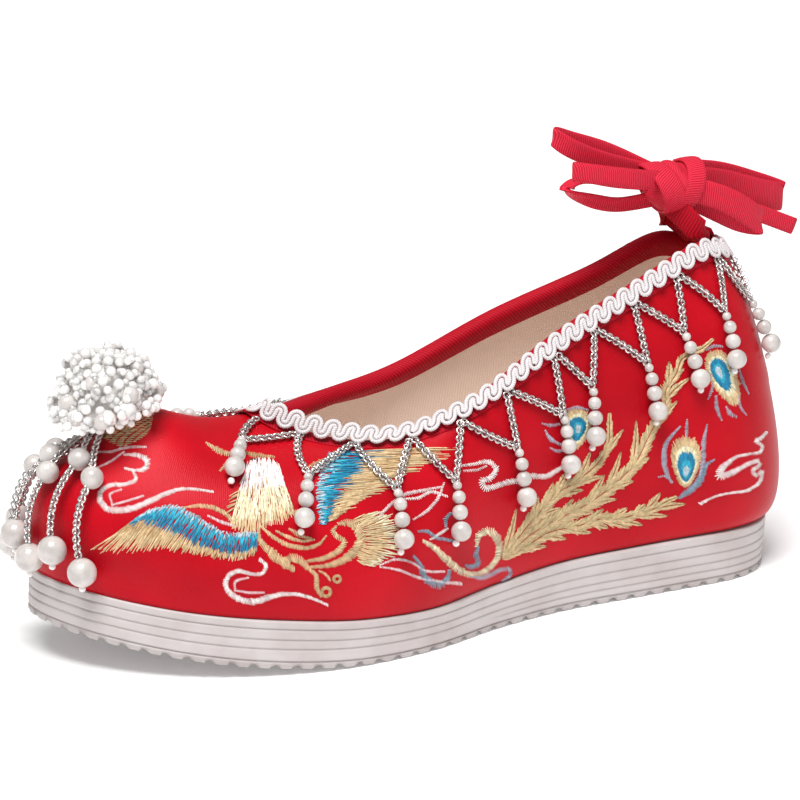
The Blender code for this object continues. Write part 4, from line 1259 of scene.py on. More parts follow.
def strand_parts(strand):
    """Chain links, pearls and end bead of one strand at the toe."""
    length = rib_length(strand.end_ring)[0]
    places = np.linspace(strand.end, strand.top, STRAND_STEPS)
    stops = [strand.end, strand.middle, strand.top]
    rings = [strand.end_ring, strand.middle_ring, strand.top_ring]
    outs = np.interp(places, stops, [STRAND_END, STRAND_MIDDLE, STRAND_CHAIN])
    ring = np.interp(places, stops, rings)
    t = 1 - (length - places) / rib_length(ring)
    path, normal = off_face(ring, t, outs + DROP_CLEAR)
    links = [chain_links(path, normal)]
    at = np.array([strand.end, strand.middle])
    ring = np.interp(at, stops, rings)
    sizes = np.array([STRAND_END, STRAND_MIDDLE])
    centres, _ = off_face(ring, 1 - (length - at) / rib_length(ring), sizes + DROP_CLEAR)
    seed = centres[0] - np.array([0, 0, STRAND_END + STRAND_TAIL * SEED]) * MM
    return links, np.concatenate([centres, seed[None]]), np.append(sizes, SEED)


def build_beads():
    """Fringe at the collar and strands at the toe: chains, pearls and clear end beads."""
    q = np.linspace(0, 1, 401)
    stations = np.interp(ANCHORS, rib(q, "rim_along"), q)
    strings = {"fringe": [], "toe": [strand_parts(strand) for strand in STRANDS]}
    for back, front, drop in zip(stations[:-1], stations[1:], DROPS):
        strings["fringe"].append(drop_parts(back, front, drop))
        strings["fringe"].append(drop_parts(2 - back, 2 - front, drop))
    for place, made in strings.items():
        centres = np.concatenate([link[0] for string in made for link in string[0]])
        frames = np.concatenate([link[1] for string in made for link in string[0]])
        prefix = "fringe" if place == "fringe" else "tassel"
        nodes = [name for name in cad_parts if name.startswith(prefix)]
        shown(f"{place}_chains", chain(centres, frames), nodes)
        pearls = np.concatenate([string[1][:-1] for string in made])
        sizes = np.concatenate([string[2][:-1] for string in made])
        shown(f"{place}_pearls", beads(pearls, sizes, PEARL_DETAIL, PEARL))
        seeds = np.array([string[1][-1] for string in made])
        made_seeds = beads(seeds, np.full(len(seeds), SEED), SEED_DETAIL, GLASS)
        shown(f"{place}_end_beads", made_seeds)


def bell(way):
    """Girth of the pompom at each height, less at the top and more at its skirt."""
    girth = np.interp(way[:, 2], POMPOM_LEVELS, POMPOM_GIRTHS)
    return np.stack([girth, girth, np.ones(len(way))], axis=-1)


def hang(way):
    """How far each part of the pompom hangs over towards the toe, and is lifted behind."""
    low = np.clip(HANG_LEVEL - way[:, 2], 0, 1)
    raised = np.clip(way[:, 0], 0, 1) * np.clip(LIFT_LEVEL - way[:, 2], 0, 1)
    return np.stack([-POMPOM_HANG * low, 0 * low, POMPOM_LIFT * raised], axis=-1)


def spread(count, top, span, turn):
    """Directions spread evenly over the pompom, from a level down, each turned on by a given angle."""
    number = np.arange(count)
    level = top - span * (number + 0.5) / count
    angle = number * GOLDEN_ANGLE + turn
    flat = np.sqrt(1 - level**2)
    return np.stack([flat * np.cos(angle), flat * np.sin(angle), level], axis=-1)


def build_pompom():
    """Cluster of clear beads and pearls on a white core."""
    centre = np.array([MIDDLE - POMPOM_ALONG, POMPOM_ACROSS, POMPOM_HEIGHT]) * MM
    core = np.array(POMPOM_CORE)
    way, faces = ball(CORE_DETAIL)
    points = centre + (way * core * bell(way) * POMPOM_FELT + hang(way)) * MM
    piece("pompom_core", points, [faces], [FELT], ["pompom"])
    way = spread(POMPOM_SEEDS, 1, POMPOM_SPAN, rng.normal(0, POMPOM_STRAY, POMPOM_SEEDS))
    stand = rng.uniform(*POMPOM_STAND, POMPOM_SEEDS)
    sizes = rng.uniform(*POMPOM_SEED, POMPOM_SEEDS)
    places = centre + (way * (core * bell(way) + stand[:, None]) + hang(way)) * MM
    shown("pompom_beads", beads(places, sizes, SEED_DETAIL, GLASS))
    way = spread(POMPOM_BIG, POMPOM_BIG_TOP, POMPOM_BIG_SPAN, POMPOM_BIG_TURN)
    places = centre + (way * (core * bell(way) + POMPOM_BIG_STAND) + hang(way)) * MM
    sizes = rng.uniform(*POMPOM_BIG_SIZE, POMPOM_BIG)
    shown("pompom_pearls", beads(places, sizes, PEARL_DETAIL, PEARL))
    ways = np.array([RIGHT * right + ABOVE * above for right, above in CRYSTALS])
    reach = np.sqrt(np.clip(1 - np.sum((ways / (core + CRYSTAL_REACH)) ** 2, axis=1), 0.05, 1))
    places = centre + (ways - AHEAD * (reach * (core[1] + CRYSTAL_STAND))[:, None]) * MM
    crystals = beads(places, np.full(len(places), CRYSTAL), SEED_DETAIL, GLASS, False)
    shown("pompom_crystals", crystals)


def smooth_path(rows, steps):
    """Points of a smooth curve through rows, with the given steps in each span."""
    rows = np.asarray(rows, float)
    knots = np.arange(len(rows))
    fine = np.linspace(0, len(rows) - 1, (len(rows) - 1) * steps + 1)
    return np.stack([spline(fine, knots, rows[:, column]) for column in range(rows.shape[1])], axis=-1)


def from_knot(bends):
    """Bends in metres, with the turn kept in degrees."""
    rows = []
    for bend in bends:
        place = (MIDDLE - KNOT[0] + bend.along, KNOT[1] + bend.across, KNOT[2] + bend.up)
        rows.append((*np.array(place) * MM, bend.turn))
    return rows


def ribbon(name, path, turns, width, nodes, look):
    """One length of folded tape, standing for the given parts of the model."""
    run = unit(np.gradient(path, axis=0))
    flat = unit(np.cross(run, [0.0, 0.0, 1.0]))
    upright = np.cross(flat, run)
    turn = np.radians(turns)[:, None]
    guide = np.cos(turn) * flat - np.sin(turn) * upright
    half = np.broadcast_to(width, len(path)) / 2
    points, faces, cloth = sweep(path, guide, half, RIBBON_FULL / 2, RIBBON_SIDES, squareness=RIBBON_SQUARE)
    made = piece(name, points, faces, [look], nodes, cloth=cloth)
    return made


Wrap = namedtuple("Wrap", "shift wide lean")
WRAPS = (Wrap(-4.0, 8.0, -0.35), Wrap(3.5, 6.5, 0.3))      # turns of ribbon round the knot
WRAP_THICK = 1.6
WRAP_SIDES = 16
Fold = namedtuple("Fold", "deep along up")
FOLDS = (Fold(0.05, 9, 3), Fold(0.03, -4, 7))      # soft folds of the knot
FULLER = {"bow_loop_back": 1.35, "bow_loop_near": 1.08, "bow_end": 1.05}      # ribbon opened out of its fold
TIE_PAST = 0.035              # how far round the collar the tie reaches past the heel loop
TIE_POINTS = 13
TIE_STEPS = 4
TIE_PINCH = LEG_PINCH + 1.5
TIE_WIDTH = LEG_WIDTH + 1.0
TIE_ENDS = 5                  # points at each end that are full width
KNOT_FULL = 1.05
KNOT_CLOTH = 1.3              # cloth round the knot, beside its flat size
WRAP_POINTS = 72
LOW_SHARES = (0.0, 0.5, 0.75, 1.0)
LOW_TURNS = (90, 90, 30, 15)


def build_bow():
    """Ribbon bow at the heel: five loops, a free end, the knot and the tie through the heel loop."""
    for row in RIBBONS:
        path = smooth_path(from_knot(row.bends), RIBBON_STEPS)
        if row.name == "bow_loop_low":
            path[:, 3] = np.interp(np.linspace(0, 1, len(path)), LOW_SHARES, LOW_TURNS)
        width = row.width * FULLER.get(row.name, 1.0)
        name = row.name.replace("bow", "ribbon")
        ribbon(name, path[:, :3], path[:, 3], width, [row.name], RIBBON)
    ring = np.linspace(ARCH_HALF + TIE_PAST, -ARCH_HALF - TIE_PAST, TIE_POINTS)
    middle = collar_section(ring, Corner(LEG_LEVEL, -WALL / 2))
    rise = np.array(from_knot(LEG_RISE))[:, :3]
    other = rise * [1, -1, 1] + [0, 2 * KNOT[1] * MM, 0]
    path = smooth_path(np.concatenate([rise[::-1], middle, other]), TIE_STEPS)
    width = np.full(len(path), TIE_PINCH)
    width[:TIE_ENDS] = TIE_WIDTH
    width[-TIE_ENDS:] = TIE_WIDTH
    # Painted shade: the tie is given the darker tape's material, as it lies in shadow.
    ribbon("ribbon_tie", path, np.zeros(len(path)), width, ["bow_tie"], TAPE)
    centre = np.array([MIDDLE - KNOT[0], KNOT[1], KNOT[2]]) * MM
    points, faces = ball(KNOT_DETAIL)
    folds = 1 + sum(fold.deep * np.sin(fold.along * points[:, 0] + fold.up * points[:, 2]) for fold in FOLDS)
    placed = centre + points * folds[:, None] * np.array(KNOT_RADII) * KNOT_FULL * MM
    cloth = points[:, [0, 2]] * np.array(KNOT_RADII)[[0, 2]] * KNOT_CLOTH
    bodies = [(placed, [faces], cloth)]
    angle = np.linspace(0, 2 * np.pi, WRAP_POINTS, endpoint=False)
    for wrap in WRAPS:
        girth = np.array(KNOT_RADII) * np.sqrt(1 - (wrap.shift / KNOT_RADII[0]) ** 2) + WRAP_THICK / 2
        way = np.stack([wrap.lean * np.sin(angle), np.cos(angle), np.sin(angle)], axis=-1)
        path = centre + (way * girth + np.array([wrap.shift, 0, 0])) * MM
        bodies.append(sweep(path, way * [0, 1, 1], wrap.wide / 2, WRAP_THICK / 2, WRAP_SIDES, True, RIBBON_SQUARE))
    points, faces, cloth = joined(bodies)
    piece("ribbon_knot", points, faces, [RIBBON], ["bow_knot"], cloth=cloth)


def build_heel_loop():
    """Arch of tape on the collar's back that the ribbon runs through."""
    ring = np.linspace(-ARCH_HALF, ARCH_HALF, ARCH_COLUMNS)
    corners = np.array([*ARCH_OUTSIDE, *reversed(ARCH_INSIDE)])
    count = len(corners)
    points = np.stack([collar_section(ring, Corner(*corner)) for corner in corners], axis=1)
    faces = grid_faces(len(ring), count, False, True)
    half = count // 2
    ends = []
    for end in (0, (len(ring) - 1) * count):
        for corner in range(half - 1):
            ends.append((end + corner, end + corner + 1, end + count - 2 - corner, end + count - 1 - corner))
    girth = np.concatenate([[0.0], np.cumsum(np.hypot(*np.diff(corners, axis=0).T))])
    run = run_along(points[:, 0])
    cloth = cloth_grid(run[:, None], girth[None])
    piece("heel_tape_loop", points.reshape(-1, 3), [faces, np.array(ends)], [TAPE], ["heel_loop"],
          cloth=cloth, smooth=False)


# Embroidery: drawn with points of the photo, then laid on the upper. Colours of the silks
GOLD = "#DCC297"
OLD_GOLD = "#C8A87C"
PALE = "#EFE7C6"
WHITE = "#F6EEEE"
BLUSH = "#F0DADD"
BLUE = "#1F86AE"
TURQUOISE = "#36AFCC"
ICE = "#BFD3DE"
SILVER = "#B4B2C4"
STEEL = "#8AA6BA"
DARK = "#3B2A22"
SAND = "#D2BC90"
STITCH_SWAY = 0.9             # how far a long stitch strays, in pixels
STITCH_GAP = 1.6              # pixels between neighbouring stitches
STITCH_WIDE = 1.5             # pixels
STITCH_RISE = 0.26            # millimetres
STITCH_SLANT = 66             # degrees from the run of a scroll
SHADE_STRAY = 0.13            # how much lighter or darker a stitch may be
BAND_RAGGED = (0.75, 1.2)
START_STRAY = 0.06            # shares of a long stitch
END_STRAY = 0.08
PATCH_STEP = 1.9              # rows, stitches and stitch length of the toe patch, in pixels
PATCH_PITCH = 8.0
PATCH_STITCH = 7.4
PATCH_TILT = 0.6
RISE_STRAY = (0.75, 1.25)
STITCH_SHARES = (0.0, 0.5, 1.0)               # along a stitch: places, their rise and their thickness
STITCH_RISES = (0.1, 1.0, 0.1)
STITCH_GIRTHS = (0.6, 1.0, 0.6)
FAN_FINE = 0.5                # pixels between the points of a fan's edges
FAN_STRAY = 0.3               # of the way to the next stitch
FAN_START = (-0.02, 0.97)     # limits of a long stitch, as shares of the fan
FAN_END = 1.03
FAN_SHORTEST = 0.03
BLADE_FOOT = 0.12             # a blade is this share wide already at its foot, and full after the next
BLADE_SWELL = 0.3
BLADE_RAGGED = (0.75, 1.12)
BLADE_SPLIT = 7               # every so many barbs it is split
BLADE_LEAST = 0.86
BLADE_MORE = 0.2
BLADE_SPINE = 0.45            # half of the line left dark, in pixels
LEAF_TAPER = 0.9
FROND_TAPER = 0.45
LEAF_SLANT = 2.3              # a leaflet leaves this many of its reaches before its tip
LEAF_BEND = 0.12
EYE_STITCHES = 84
EYE_NARROW = 0.28             # how much narrower an eye is at one end
EYE_START_STRAY = 0.03
EYE_END_STRAY = 0.04
RINGLET_STITCHES = 26
RINGLET_SKEW = 20             # degrees
RINGLET_HOLE = 0.45
SEEN_SHARE = 0.58             # of the face's columns, those that the photo can see
FACING = -0.02
CAST_STEP = 0.004
CAST_ROUNDS = 3
CAST_LEAST = 1e3              # square pixels of a step; where there are fewer, the face is seen edge on
CAST_STILL = 1e9
CAST_RING = 0.01              # most that a round moves a stitch
CAST_T = 0.02
BARB_LEAN = 26                # degrees from the run of a leaf
LEAFLET = 5.0                 # half width of a leaflet, in pixels
Stitch = namedtuple("Stitch", "starts ends colours")
sewn = []

Band = namedtuple("Band", "colour widths points")
BANDS = (
    # scrolls at the toe
    Band(BLUSH, (2, 3, 3, 2), ((97, 452), (110, 452), (127, 447.5), (146, 447))),
    Band(BLUSH, (2, 2.5, 2), ((95, 469), (110, 462), (124, 452))),
    Band(WHITE, (2, 4.5, 6.5, 6, 3.5, 2.5),
         ((124, 455), (138, 455.5), (147.5, 461), (145.5, 468.5), (135, 470.5), (125, 468.5))),
    Band(WHITE, (3, 4.5, 5, 5, 6.5, 7, 7.5, 7, 6.5, 5.5, 4.5, 3.5, 3, 2.5),
         ((133, 471), (136, 479), (127, 484), (112, 485), (102, 490), (100, 500), (106, 508), (119.5, 510),
          (135, 507.5), (150, 501), (165.5, 494), (179, 489.5), (196, 489.5), (213, 492))),
    Band(BLUSH, (2, 2.5, 2), ((112, 503), (110, 495), (121, 489.5))),
    Band(BLUSH, (2, 2.5, 2), ((112, 505), (127, 501), (143, 496))),
    # gold bands over the left wing
    Band(GOLD, (1.5, 4, 5, 5, 4), ((181.5, 508), (201.5, 506), (218, 509.5), (228, 516), (235, 527))),
    Band(BLUSH, (2, 3.5, 3), ((208, 516), (223, 522.5), (235, 526))),
    # crest, beak and brow
    Band(GOLD, (2, 7, 6, 4), ((206, 443), (217, 450), (227, 453.5), (240, 453))),
    Band(GOLD, (2, 5, 4), ((220, 471), (226.5, 465), (238, 461))),
    Band(OLD_GOLD, (3, 6, 5, 2), ((243, 452), (252, 454.5), (262, 456), (274, 457))),
    Band(DARK, (2, 3.5, 2), ((250, 459.5), (253.5, 459.5), (257, 460))),
    Band(GOLD, (2, 6, 5, 2), ((309, 467), (316, 464), (322, 461), (328, 459))),
    # body arcs and feet
    Band(GOLD, (3, 5, 8, 11, 9, 6), ((258, 526), (260, 541), (269.5, 551), (281, 561), (288, 566), (294, 569))),
    Band(GOLD, (2, 4, 5, 5.5, 4, 2), ((258, 524), (274, 537.5), (291, 546), (309, 547.5), (319, 544), (326, 536))),
    Band(GOLD, (2, 4, 4, 2), ((276, 531), (289, 537.5), (303, 541), (314, 539.5))),
    Band(GOLD, (2, 5, 4, 2), ((289, 529), (296, 533), (303, 536.5), (311, 538))),
    Band(GOLD, (2, 5, 4), ((288, 515), (295, 512), (302, 510))),
    Band(GOLD, (7, 10, 9, 6), ((285, 560), (292, 558), (299, 559.5), (307, 567))),
    Band(GOLD, (3, 5, 6.5, 7, 6.5, 6, 3),
         ((308, 561), (326, 557.5), (341, 547.5), (344, 542), (336, 536), (332.5, 532), (336, 526))),
    Band(GOLD, (3, 5, 8, 11, 12, 10, 4),
         ((309, 567.5), (334, 564), (353, 553), (361, 541), (359, 531), (350, 523.5), (338, 524))),
    Band(GOLD, (3, 5.5, 5.5, 3), ((307.5, 568), (316, 576), (316.5, 587), (321, 596))),
    Band(GOLD, (2, 3, 2.5), ((319, 571), (325, 574), (330, 580))),
    # cloud scroll under the body
    Band(WHITE, (4, 4.5, 4, 4.5, 5, 6, 7, 7, 7, 6.5, 5.5, 4.5, 4, 3.5, 2.5),
         ((259.5, 559.5), (266, 565.5), (263, 573), (253, 574), (238, 571), (228.5, 576), (225.5, 584.5),
          (231, 594), (243, 600), (254.5, 601.5), (268, 597.5), (284, 594), (301, 595), (314, 599), (327.5, 605))),
    Band(BLUSH, (2, 3, 2), ((235, 590.5), (235, 582.5), (248, 577.5))),
    Band(BLUSH, (2, 3, 2), ((236, 590.5), (249.5, 592.5), (264, 592.5))),
    # ribbons and scroll behind the wing
    Band(BLUSH, (2.5, 4, 4.5, 4, 2.5), ((378, 518), (389, 506), (403, 495.5), (423, 490.5), (441, 487))),
    Band(WHITE, (2, 3.5, 3.5, 2.5), ((403, 499), (418, 498), (430.5, 492), (447, 496.5))),
    Band(BLUSH, (2, 3.5, 3.5, 2), ((444, 483), (438, 498), (426, 511.5), (413.5, 519.5))),
    Band(WHITE, (2.5, 3.5, 5, 6, 6, 7.5, 6.5, 6.5, 6, 5.5, 6, 5.5, 5, 4),
         ((461, 466), (475, 464), (489, 462), (496, 469), (490, 478), (481.5, 481.5), (485, 488), (496, 486),
          (509, 482), (519, 480), (533, 476), (545, 476.5), (556, 471), (566, 464))),
    Band(BLUSH, (2, 3, 2), ((463.5, 471), (478, 469.5), (486, 466))),
    # long gold tail with curls
    Band(PALE, (4, 6.5, 8, 8.5, 8, 6.5, 6, 6.5, 9, 10, 8, 3.5),
         ((423, 541), (435, 548.5), (446, 559), (456.5, 568), (470, 574.5), (484, 571.5), (495, 562),
          (499.5, 548.5), (496, 537), (487.5, 531), (479.5, 535), (476.5, 546))),
    Band(STEEL, (3, 6, 7, 6, 3), ((478, 547), (475.5, 556), (478.5, 563), (472, 567), (465, 565.5))),
    Band(SILVER, (3, 4.5, 5, 5, 5, 4.5, 2.5),
         ((469, 575.5), (481, 578), (493, 573.5), (502.5, 569), (509.5, 569.5), (510, 575), (502.5, 580.5))),
    Band(STEEL, (3, 5, 6.5, 9, 9, 6, 3.5),
         ((413.5, 556), (421, 566.5), (423.5, 576), (432, 583), (441, 584), (447.5, 578), (449, 570))),
    Band(BLUSH, (2, 3, 3, 3, 2.5), ((380, 565), (395, 559.5), (410.5, 562), (426, 571), (444, 571.5))),
    Band(BLUSH, (2, 3, 3.5, 3.5, 4), ((380, 567), (398.5, 570), (418, 577.5), (441, 582), (461, 583.5))),
    Band(STEEL, (2.5, 4, 4, 4, 3), ((418, 531.5), (427.5, 531.5), (435, 537.5), (446, 539.5), (453.5, 541))),
    Band(WHITE, (2, 3.5, 3), ((430.5, 539.5), (441, 533), (447.5, 528.5))),
    Band(STEEL, (3, 5, 3), ((446, 526), (445.5, 519), (450.5, 513))),
    # scroll at the heel
    Band(WHITE, (3.5, 4.5, 4.5, 4, 3, 3, 3.5, 5.5, 8, 8, 7, 5.5, 5, 5),
         ((766.5, 432), (761, 438), (755.5, 441), (762, 446), (761, 451), (748.5, 454), (735, 457.5), (729, 462),
          (720.5, 470), (719, 475.5), (728, 474), (738.5, 469), (748.5, 464), (757, 460.5))),
    Band(WHITE, (5, 5, 4.5, 4.5, 4, 3.5, 3, 2.5, 2.5, 2.5, 4.5),
         ((757, 460.5), (759.5, 465), (753, 470), (755, 475.5), (762, 471.5), (761, 479), (748.5, 490),
          (734, 492.5), (720, 495), (709, 499), (700.5, 504))),
    # silver barbs round the eyes
    Band(SILVER, (2, 5.5, 5, 2), ((670.5, 482), (664.5, 462), (666, 444), (680, 426.5))),
    Band(SILVER, (2, 4, 4, 1.5), ((667, 478), (663, 462), (664, 448), (667, 441))),
    Band(SILVER, (2, 5, 5, 1.5), ((699, 479), (703.5, 458), (703.5, 443), (707, 424.5))),
    Band(SILVER, (3, 4, 1.5), ((686.5, 436), (686.5, 428), (687, 419.5))),
    Band(SILVER, (1.5, 3, 3), ((658.5, 477), (665, 476), (672, 482))),
    Band(STEEL, (3, 7, 5, 1.5), ((694, 486), (702, 474), (706, 465), (714, 459.5))),
    Band(STEEL, (3, 8, 6, 2), ((679, 498), (692, 489), (701, 480), (706, 468))),
    Band(SILVER, (2, 4, 1.5), ((738, 366), (743, 382), (748.5, 393.5))),
    Band(SILVER, (2, 4, 1.5), ((738, 396), (741.5, 409), (746, 414.5))),
    Band(SILVER, (2, 5.5, 3), ((726, 407), (730, 413.5), (736, 416.5))),
    Band(SILVER, (3, 5, 2), ((716, 396), (717, 409), (721.5, 420))),
    Band(SILVER, (2, 3.5, 1.5), ((713, 384), (711, 392), (708, 399))),
    Band(SILVER, (2, 4.5, 2.5), ((706, 350), (714, 346), (722, 346.5))),
    Band(SILVER, (1.5, 4, 3), ((542, 423.5), (550, 425.5), (559, 424))),
    Band(SILVER, (1.5, 5, 3), ((545, 430.5), (550, 438.5), (560, 444.5))),
    Band(SILVER, (1.5, 4, 3), ((550, 448), (556, 451), (564, 450))),
    Band(SILVER, (2, 4, 2), ((566, 410), (576, 407.5), (588, 410))),
)
Layer = namedtuple("Layer", "starts ends colour")
Fan = namedtuple("Fan", "count roots tips layers")
FANS = (
    # left wing
    Fan(118,
        ((136, 520), (146, 513), (154, 509.5), (170, 506), (181.6, 508.6), (193, 514.4), (206.4, 522.7), (218, 530),
         (231, 533.5), (246, 532.7), (257, 531)),
        ((93, 549), (104, 552), (118, 551), (137, 552), (151, 550), (163, 548.5), (186, 553), (205, 555),
         (222, 558), (241, 559), (256, 553)),
        (Layer((0.05, 0.3, 0.5, 0.66, 0.74, 0.7), (1.0, 1.0), GOLD),
         Layer((0.1, 0.35, 0.55, 0.7, 0.78, 0.72), (0.6, 0.75, 0.88, 0.94, 0.95, 0.95), OLD_GOLD),
         Layer((0.0, 0.1, 0.22, 0.3, 0.34, 0.3), (0.14, 0.38, 0.58, 0.76, 0.84, 0.8), BLUE),
         Layer((0.0, 0.02), (0.08, 0.24, 0.32, 0.42, 0.46, 0.4), TURQUOISE),
         Layer((-0.03, -0.03), (0.04, 0.12), ICE))),
    # neck
    Fan(58,
        ((247.5, 464), (254, 461), (262, 459.5), (270, 460.5), (278, 464)),
        ((231, 527), (246, 531), (259, 529), (272, 523), (284, 521), (294, 514)),
        (Layer((0.78, 0.76), (1.0, 1.0), GOLD), Layer((0.64, 0.64), (0.94, 0.92), PALE),
         Layer((0.5, 0.5), (0.76, 0.76), PALE), Layer((0.36, 0.36), (0.6, 0.6), PALE),
         Layer((0.24, 0.24), (0.48, 0.48), WHITE), Layer((0.1, 0.1), (0.34, 0.34), WHITE),
         Layer((-0.02, -0.02), (0.2, 0.2), WHITE))),
    Fan(9,
        ((249, 470), (262, 468), (278, 472)),
        ((233, 524), (260, 524), (290, 513)),
        (Layer((0.1, 0.2), (0.5, 0.6), OLD_GOLD), Layer((0.55, 0.6), (0.95, 1.0), OLD_GOLD))),
    Fan(8,
        ((243, 490), (241, 498), (237, 508)),
        ((229, 496), (226, 506), (224, 514)),
        (Layer((0.0, 0.0), (1.0, 1.0), OLD_GOLD),)),
    # right wing
    Fan(70,
        ((331, 452), (326, 464), (320, 480), (317, 494), (318.5, 509), (321.5, 524)),
        ((462, 447), (448, 457), (430, 464), (400, 480), (385, 491), (368, 497), (354, 506), (338, 517)),
        (Layer((0.6, 0.5), (0.92, 0.95), GOLD), Layer((0.38, 0.42), (0.8, 0.9), OLD_GOLD),
         Layer((0.27, 0.34), (0.62, 0.75), GOLD), Layer((0.06, 0.1), (0.32, 0.44), BLUE),
         Layer((0.0, 0.05), (0.18, 0.32), TURQUOISE), Layer((-0.03, -0.03), (0.05, 0.2), ICE))),
    # spiky tail base
    Fan(44,
        ((352, 521), (362, 532), (364, 541), (358, 553), (357, 561)),
        ((377, 510), (398, 520), (400, 535), (402, 549), (390, 560), (372, 567)),
        (Layer((0.5, 0.5), (0.95, 0.95), PALE), Layer((0.25, 0.25), (0.75, 0.75), GOLD),
         Layer((0.0, 0.0), (0.5, 0.5), GOLD))),
)
Frond = namedtuple("Frond", "wide points tips")
FRONDS = (
    Frond(7.5,
          ((502.5, 559), (518, 538), (536, 516), (556, 495), (576, 481), (594, 467), (606.5, 449), (609.6, 413)),
          ((516, 509), (538, 497), (553, 483), (567, 470), (590, 452), (623, 429.5), (560, 508), (583, 490),
           (603, 476))),
    Frond(8.5,
          ((502.5, 559), (533, 533), (564, 516), (584, 506), (602, 494), (620.7, 478.6), (636, 462), (646, 442),
           (653, 428), (664, 412), (666, 390), (676.5, 373), (681.6, 360), (689, 354), (701, 349), (713, 339)),
          ((552, 512), (573, 499), (604, 475), (620.7, 452), (636, 421), (649, 457.5), (633, 481), (655, 402),
           (677, 401), (669, 361.6), (689, 378), (616, 499), (594, 512))),
    Frond(7.5,
          ((502.5, 559), (525, 547), (548, 533), (579, 525.5), (601, 519), (622, 518), (636, 514), (653, 509),
           (667, 501), (677, 497)),
          ((660, 493), (645, 504.5), (627, 508), (603, 509), (685, 504), (667, 516), (642, 525), (629, 528),
           (608, 528), (591, 533), (566, 539), (546, 546))),
)
Eye = namedtuple("Eye", "x y half_wide half_high tilt core_x core_y")
EYES = (
    Eye(686.0, 461.5, 14.5, 26.0, 2.0, 0.0, 12.0),
    Eye(724.0, 378.0, 14.0, 30.0, -24.0, -3.0, -9.0),
    Eye(576.0, 429.0, 14.0, 21.0, 8.0, 2.0, 0.0),
)
EYE_RINGS = (Layer(0.6, 1.0, GOLD), Layer(0.52, 0.84, PALE), Layer(0.2, 0.66, BLUE), Layer(0.16, 0.4, TURQUOISE),
             Layer(0.0, 0.24, ICE))
# height on the photo, left and right end of the toe patch there
TOE_PATCH = ((404, 104, 146), (411, 97, 151), (420, 96, 153), (428, 97, 151), (435, 101, 147), (441, 107, 139),
             (446, 117, 127))
RINGLETS = ((337.0, 579.0, 4.6), (326.0, 592.0, 6.0))


def even_curve(points, gap):
    """Evenly spaced points of a smooth curve through pixels, with the share of the way at each."""
    points = np.asarray(points, float)
    knots = np.concatenate([[0.0], np.cumsum(np.linalg.norm(np.diff(points, axis=0), axis=1))])
    count = max(int(knots[-1] / gap), 3)
    at = np.linspace(0, knots[-1], count)
    return np.stack([spline(at, knots, points[:, axis]) for axis in range(2)], axis=-1), at / knots[-1]


def turned(vectors, degrees):
    """Vectors on the photo, turned."""
    angle = np.radians(degrees)
    c = np.cos(angle)
    s = np.sin(angle)
    return np.stack([vectors[..., 0] * c - vectors[..., 1] * s, vectors[..., 0] * s + vectors[..., 1] * c], axis=-1)


def sew(starts, ends, colour):
    """Keep stitches of one silk, each a little lighter or darker than the next."""
    starts = np.asarray(starts, float).reshape(-1, 2)
    ends = np.asarray(ends, float).reshape(-1, 2)
    shades = np.clip(srgb(colour) * rng.normal(1.0, SHADE_STRAY, (len(starts), 1)), 0, 1)
    sewn.append(Stitch(starts, ends, shades))


def sew_band(row):
    """Satin stitch across a scroll, slanting to its run."""
    path, share = even_curve(row.points, STITCH_GAP)
    run = unit(np.gradient(path, axis=0))
    wide = np.interp(share, np.linspace(0, 1, len(row.widths)), row.widths)[:, None] / 2
    across = turned(run, STITCH_SLANT)
    jitter = rng.uniform(*BAND_RAGGED, (2, len(path), 1))
    sew(path + across * wide * jitter[0], path - across * wide * jitter[1], row.colour)


def sew_fan(row):
    """Long stitches from one line to another in rows of silks that run into each other."""
    roots, _ = even_curve(row.roots, FAN_FINE)
    tips, _ = even_curve(row.tips, FAN_FINE)
    share = np.clip(np.linspace(0, 1, row.count) + rng.normal(0, FAN_STRAY / row.count, row.count), 0, 1)
    first = between(share, np.linspace(0, 1, len(roots)), roots)
    run = between(share, np.linspace(0, 1, len(tips)), tips) - first
    for layer in row.layers:
        start = np.interp(share, np.linspace(0, 1, len(layer.starts)), layer.starts)
        start = start + rng.normal(0, START_STRAY, row.count)
        end = np.interp(share, np.linspace(0, 1, len(layer.ends)), layer.ends)
        end = end + rng.normal(0, END_STRAY, row.count)
        start = np.clip(start, *FAN_START)
        end = np.clip(end, start + FAN_SHORTEST, FAN_END)
        sway = rng.normal(0, STITCH_SWAY, (2, row.count, 2))
        sew(first + run * start[:, None] + sway[0], first + run * end[:, None] + sway[1], layer.colour)


def sew_blade(path, half, taper):
    """Pointed leaf: a row of stitches slanting forward on either side of a line left dark."""
    share = np.linspace(0, 1, len(path))
    run = unit(np.gradient(path, axis=0))
    swell = np.minimum((share + BLADE_FOOT) / BLADE_SWELL, 1)
    barb = half * swell * (1 - share) ** taper / np.sin(np.radians(BARB_LEAN))
    for side in (-1, 1):
        way = turned(run, side * BARB_LEAN)
        split = ((np.arange(len(path)) + 3 * side) % BLADE_SPLIT) / (BLADE_SPLIT - 1)
        ragged = rng.uniform(*BLADE_RAGGED, len(path)) * (BLADE_LEAST + BLADE_MORE * split)
        starts = path + turned(run, side * 90) * BLADE_SPINE
        sew(starts, starts + way * (barb * ragged)[:, None], GOLD if side > 0 else SAND)


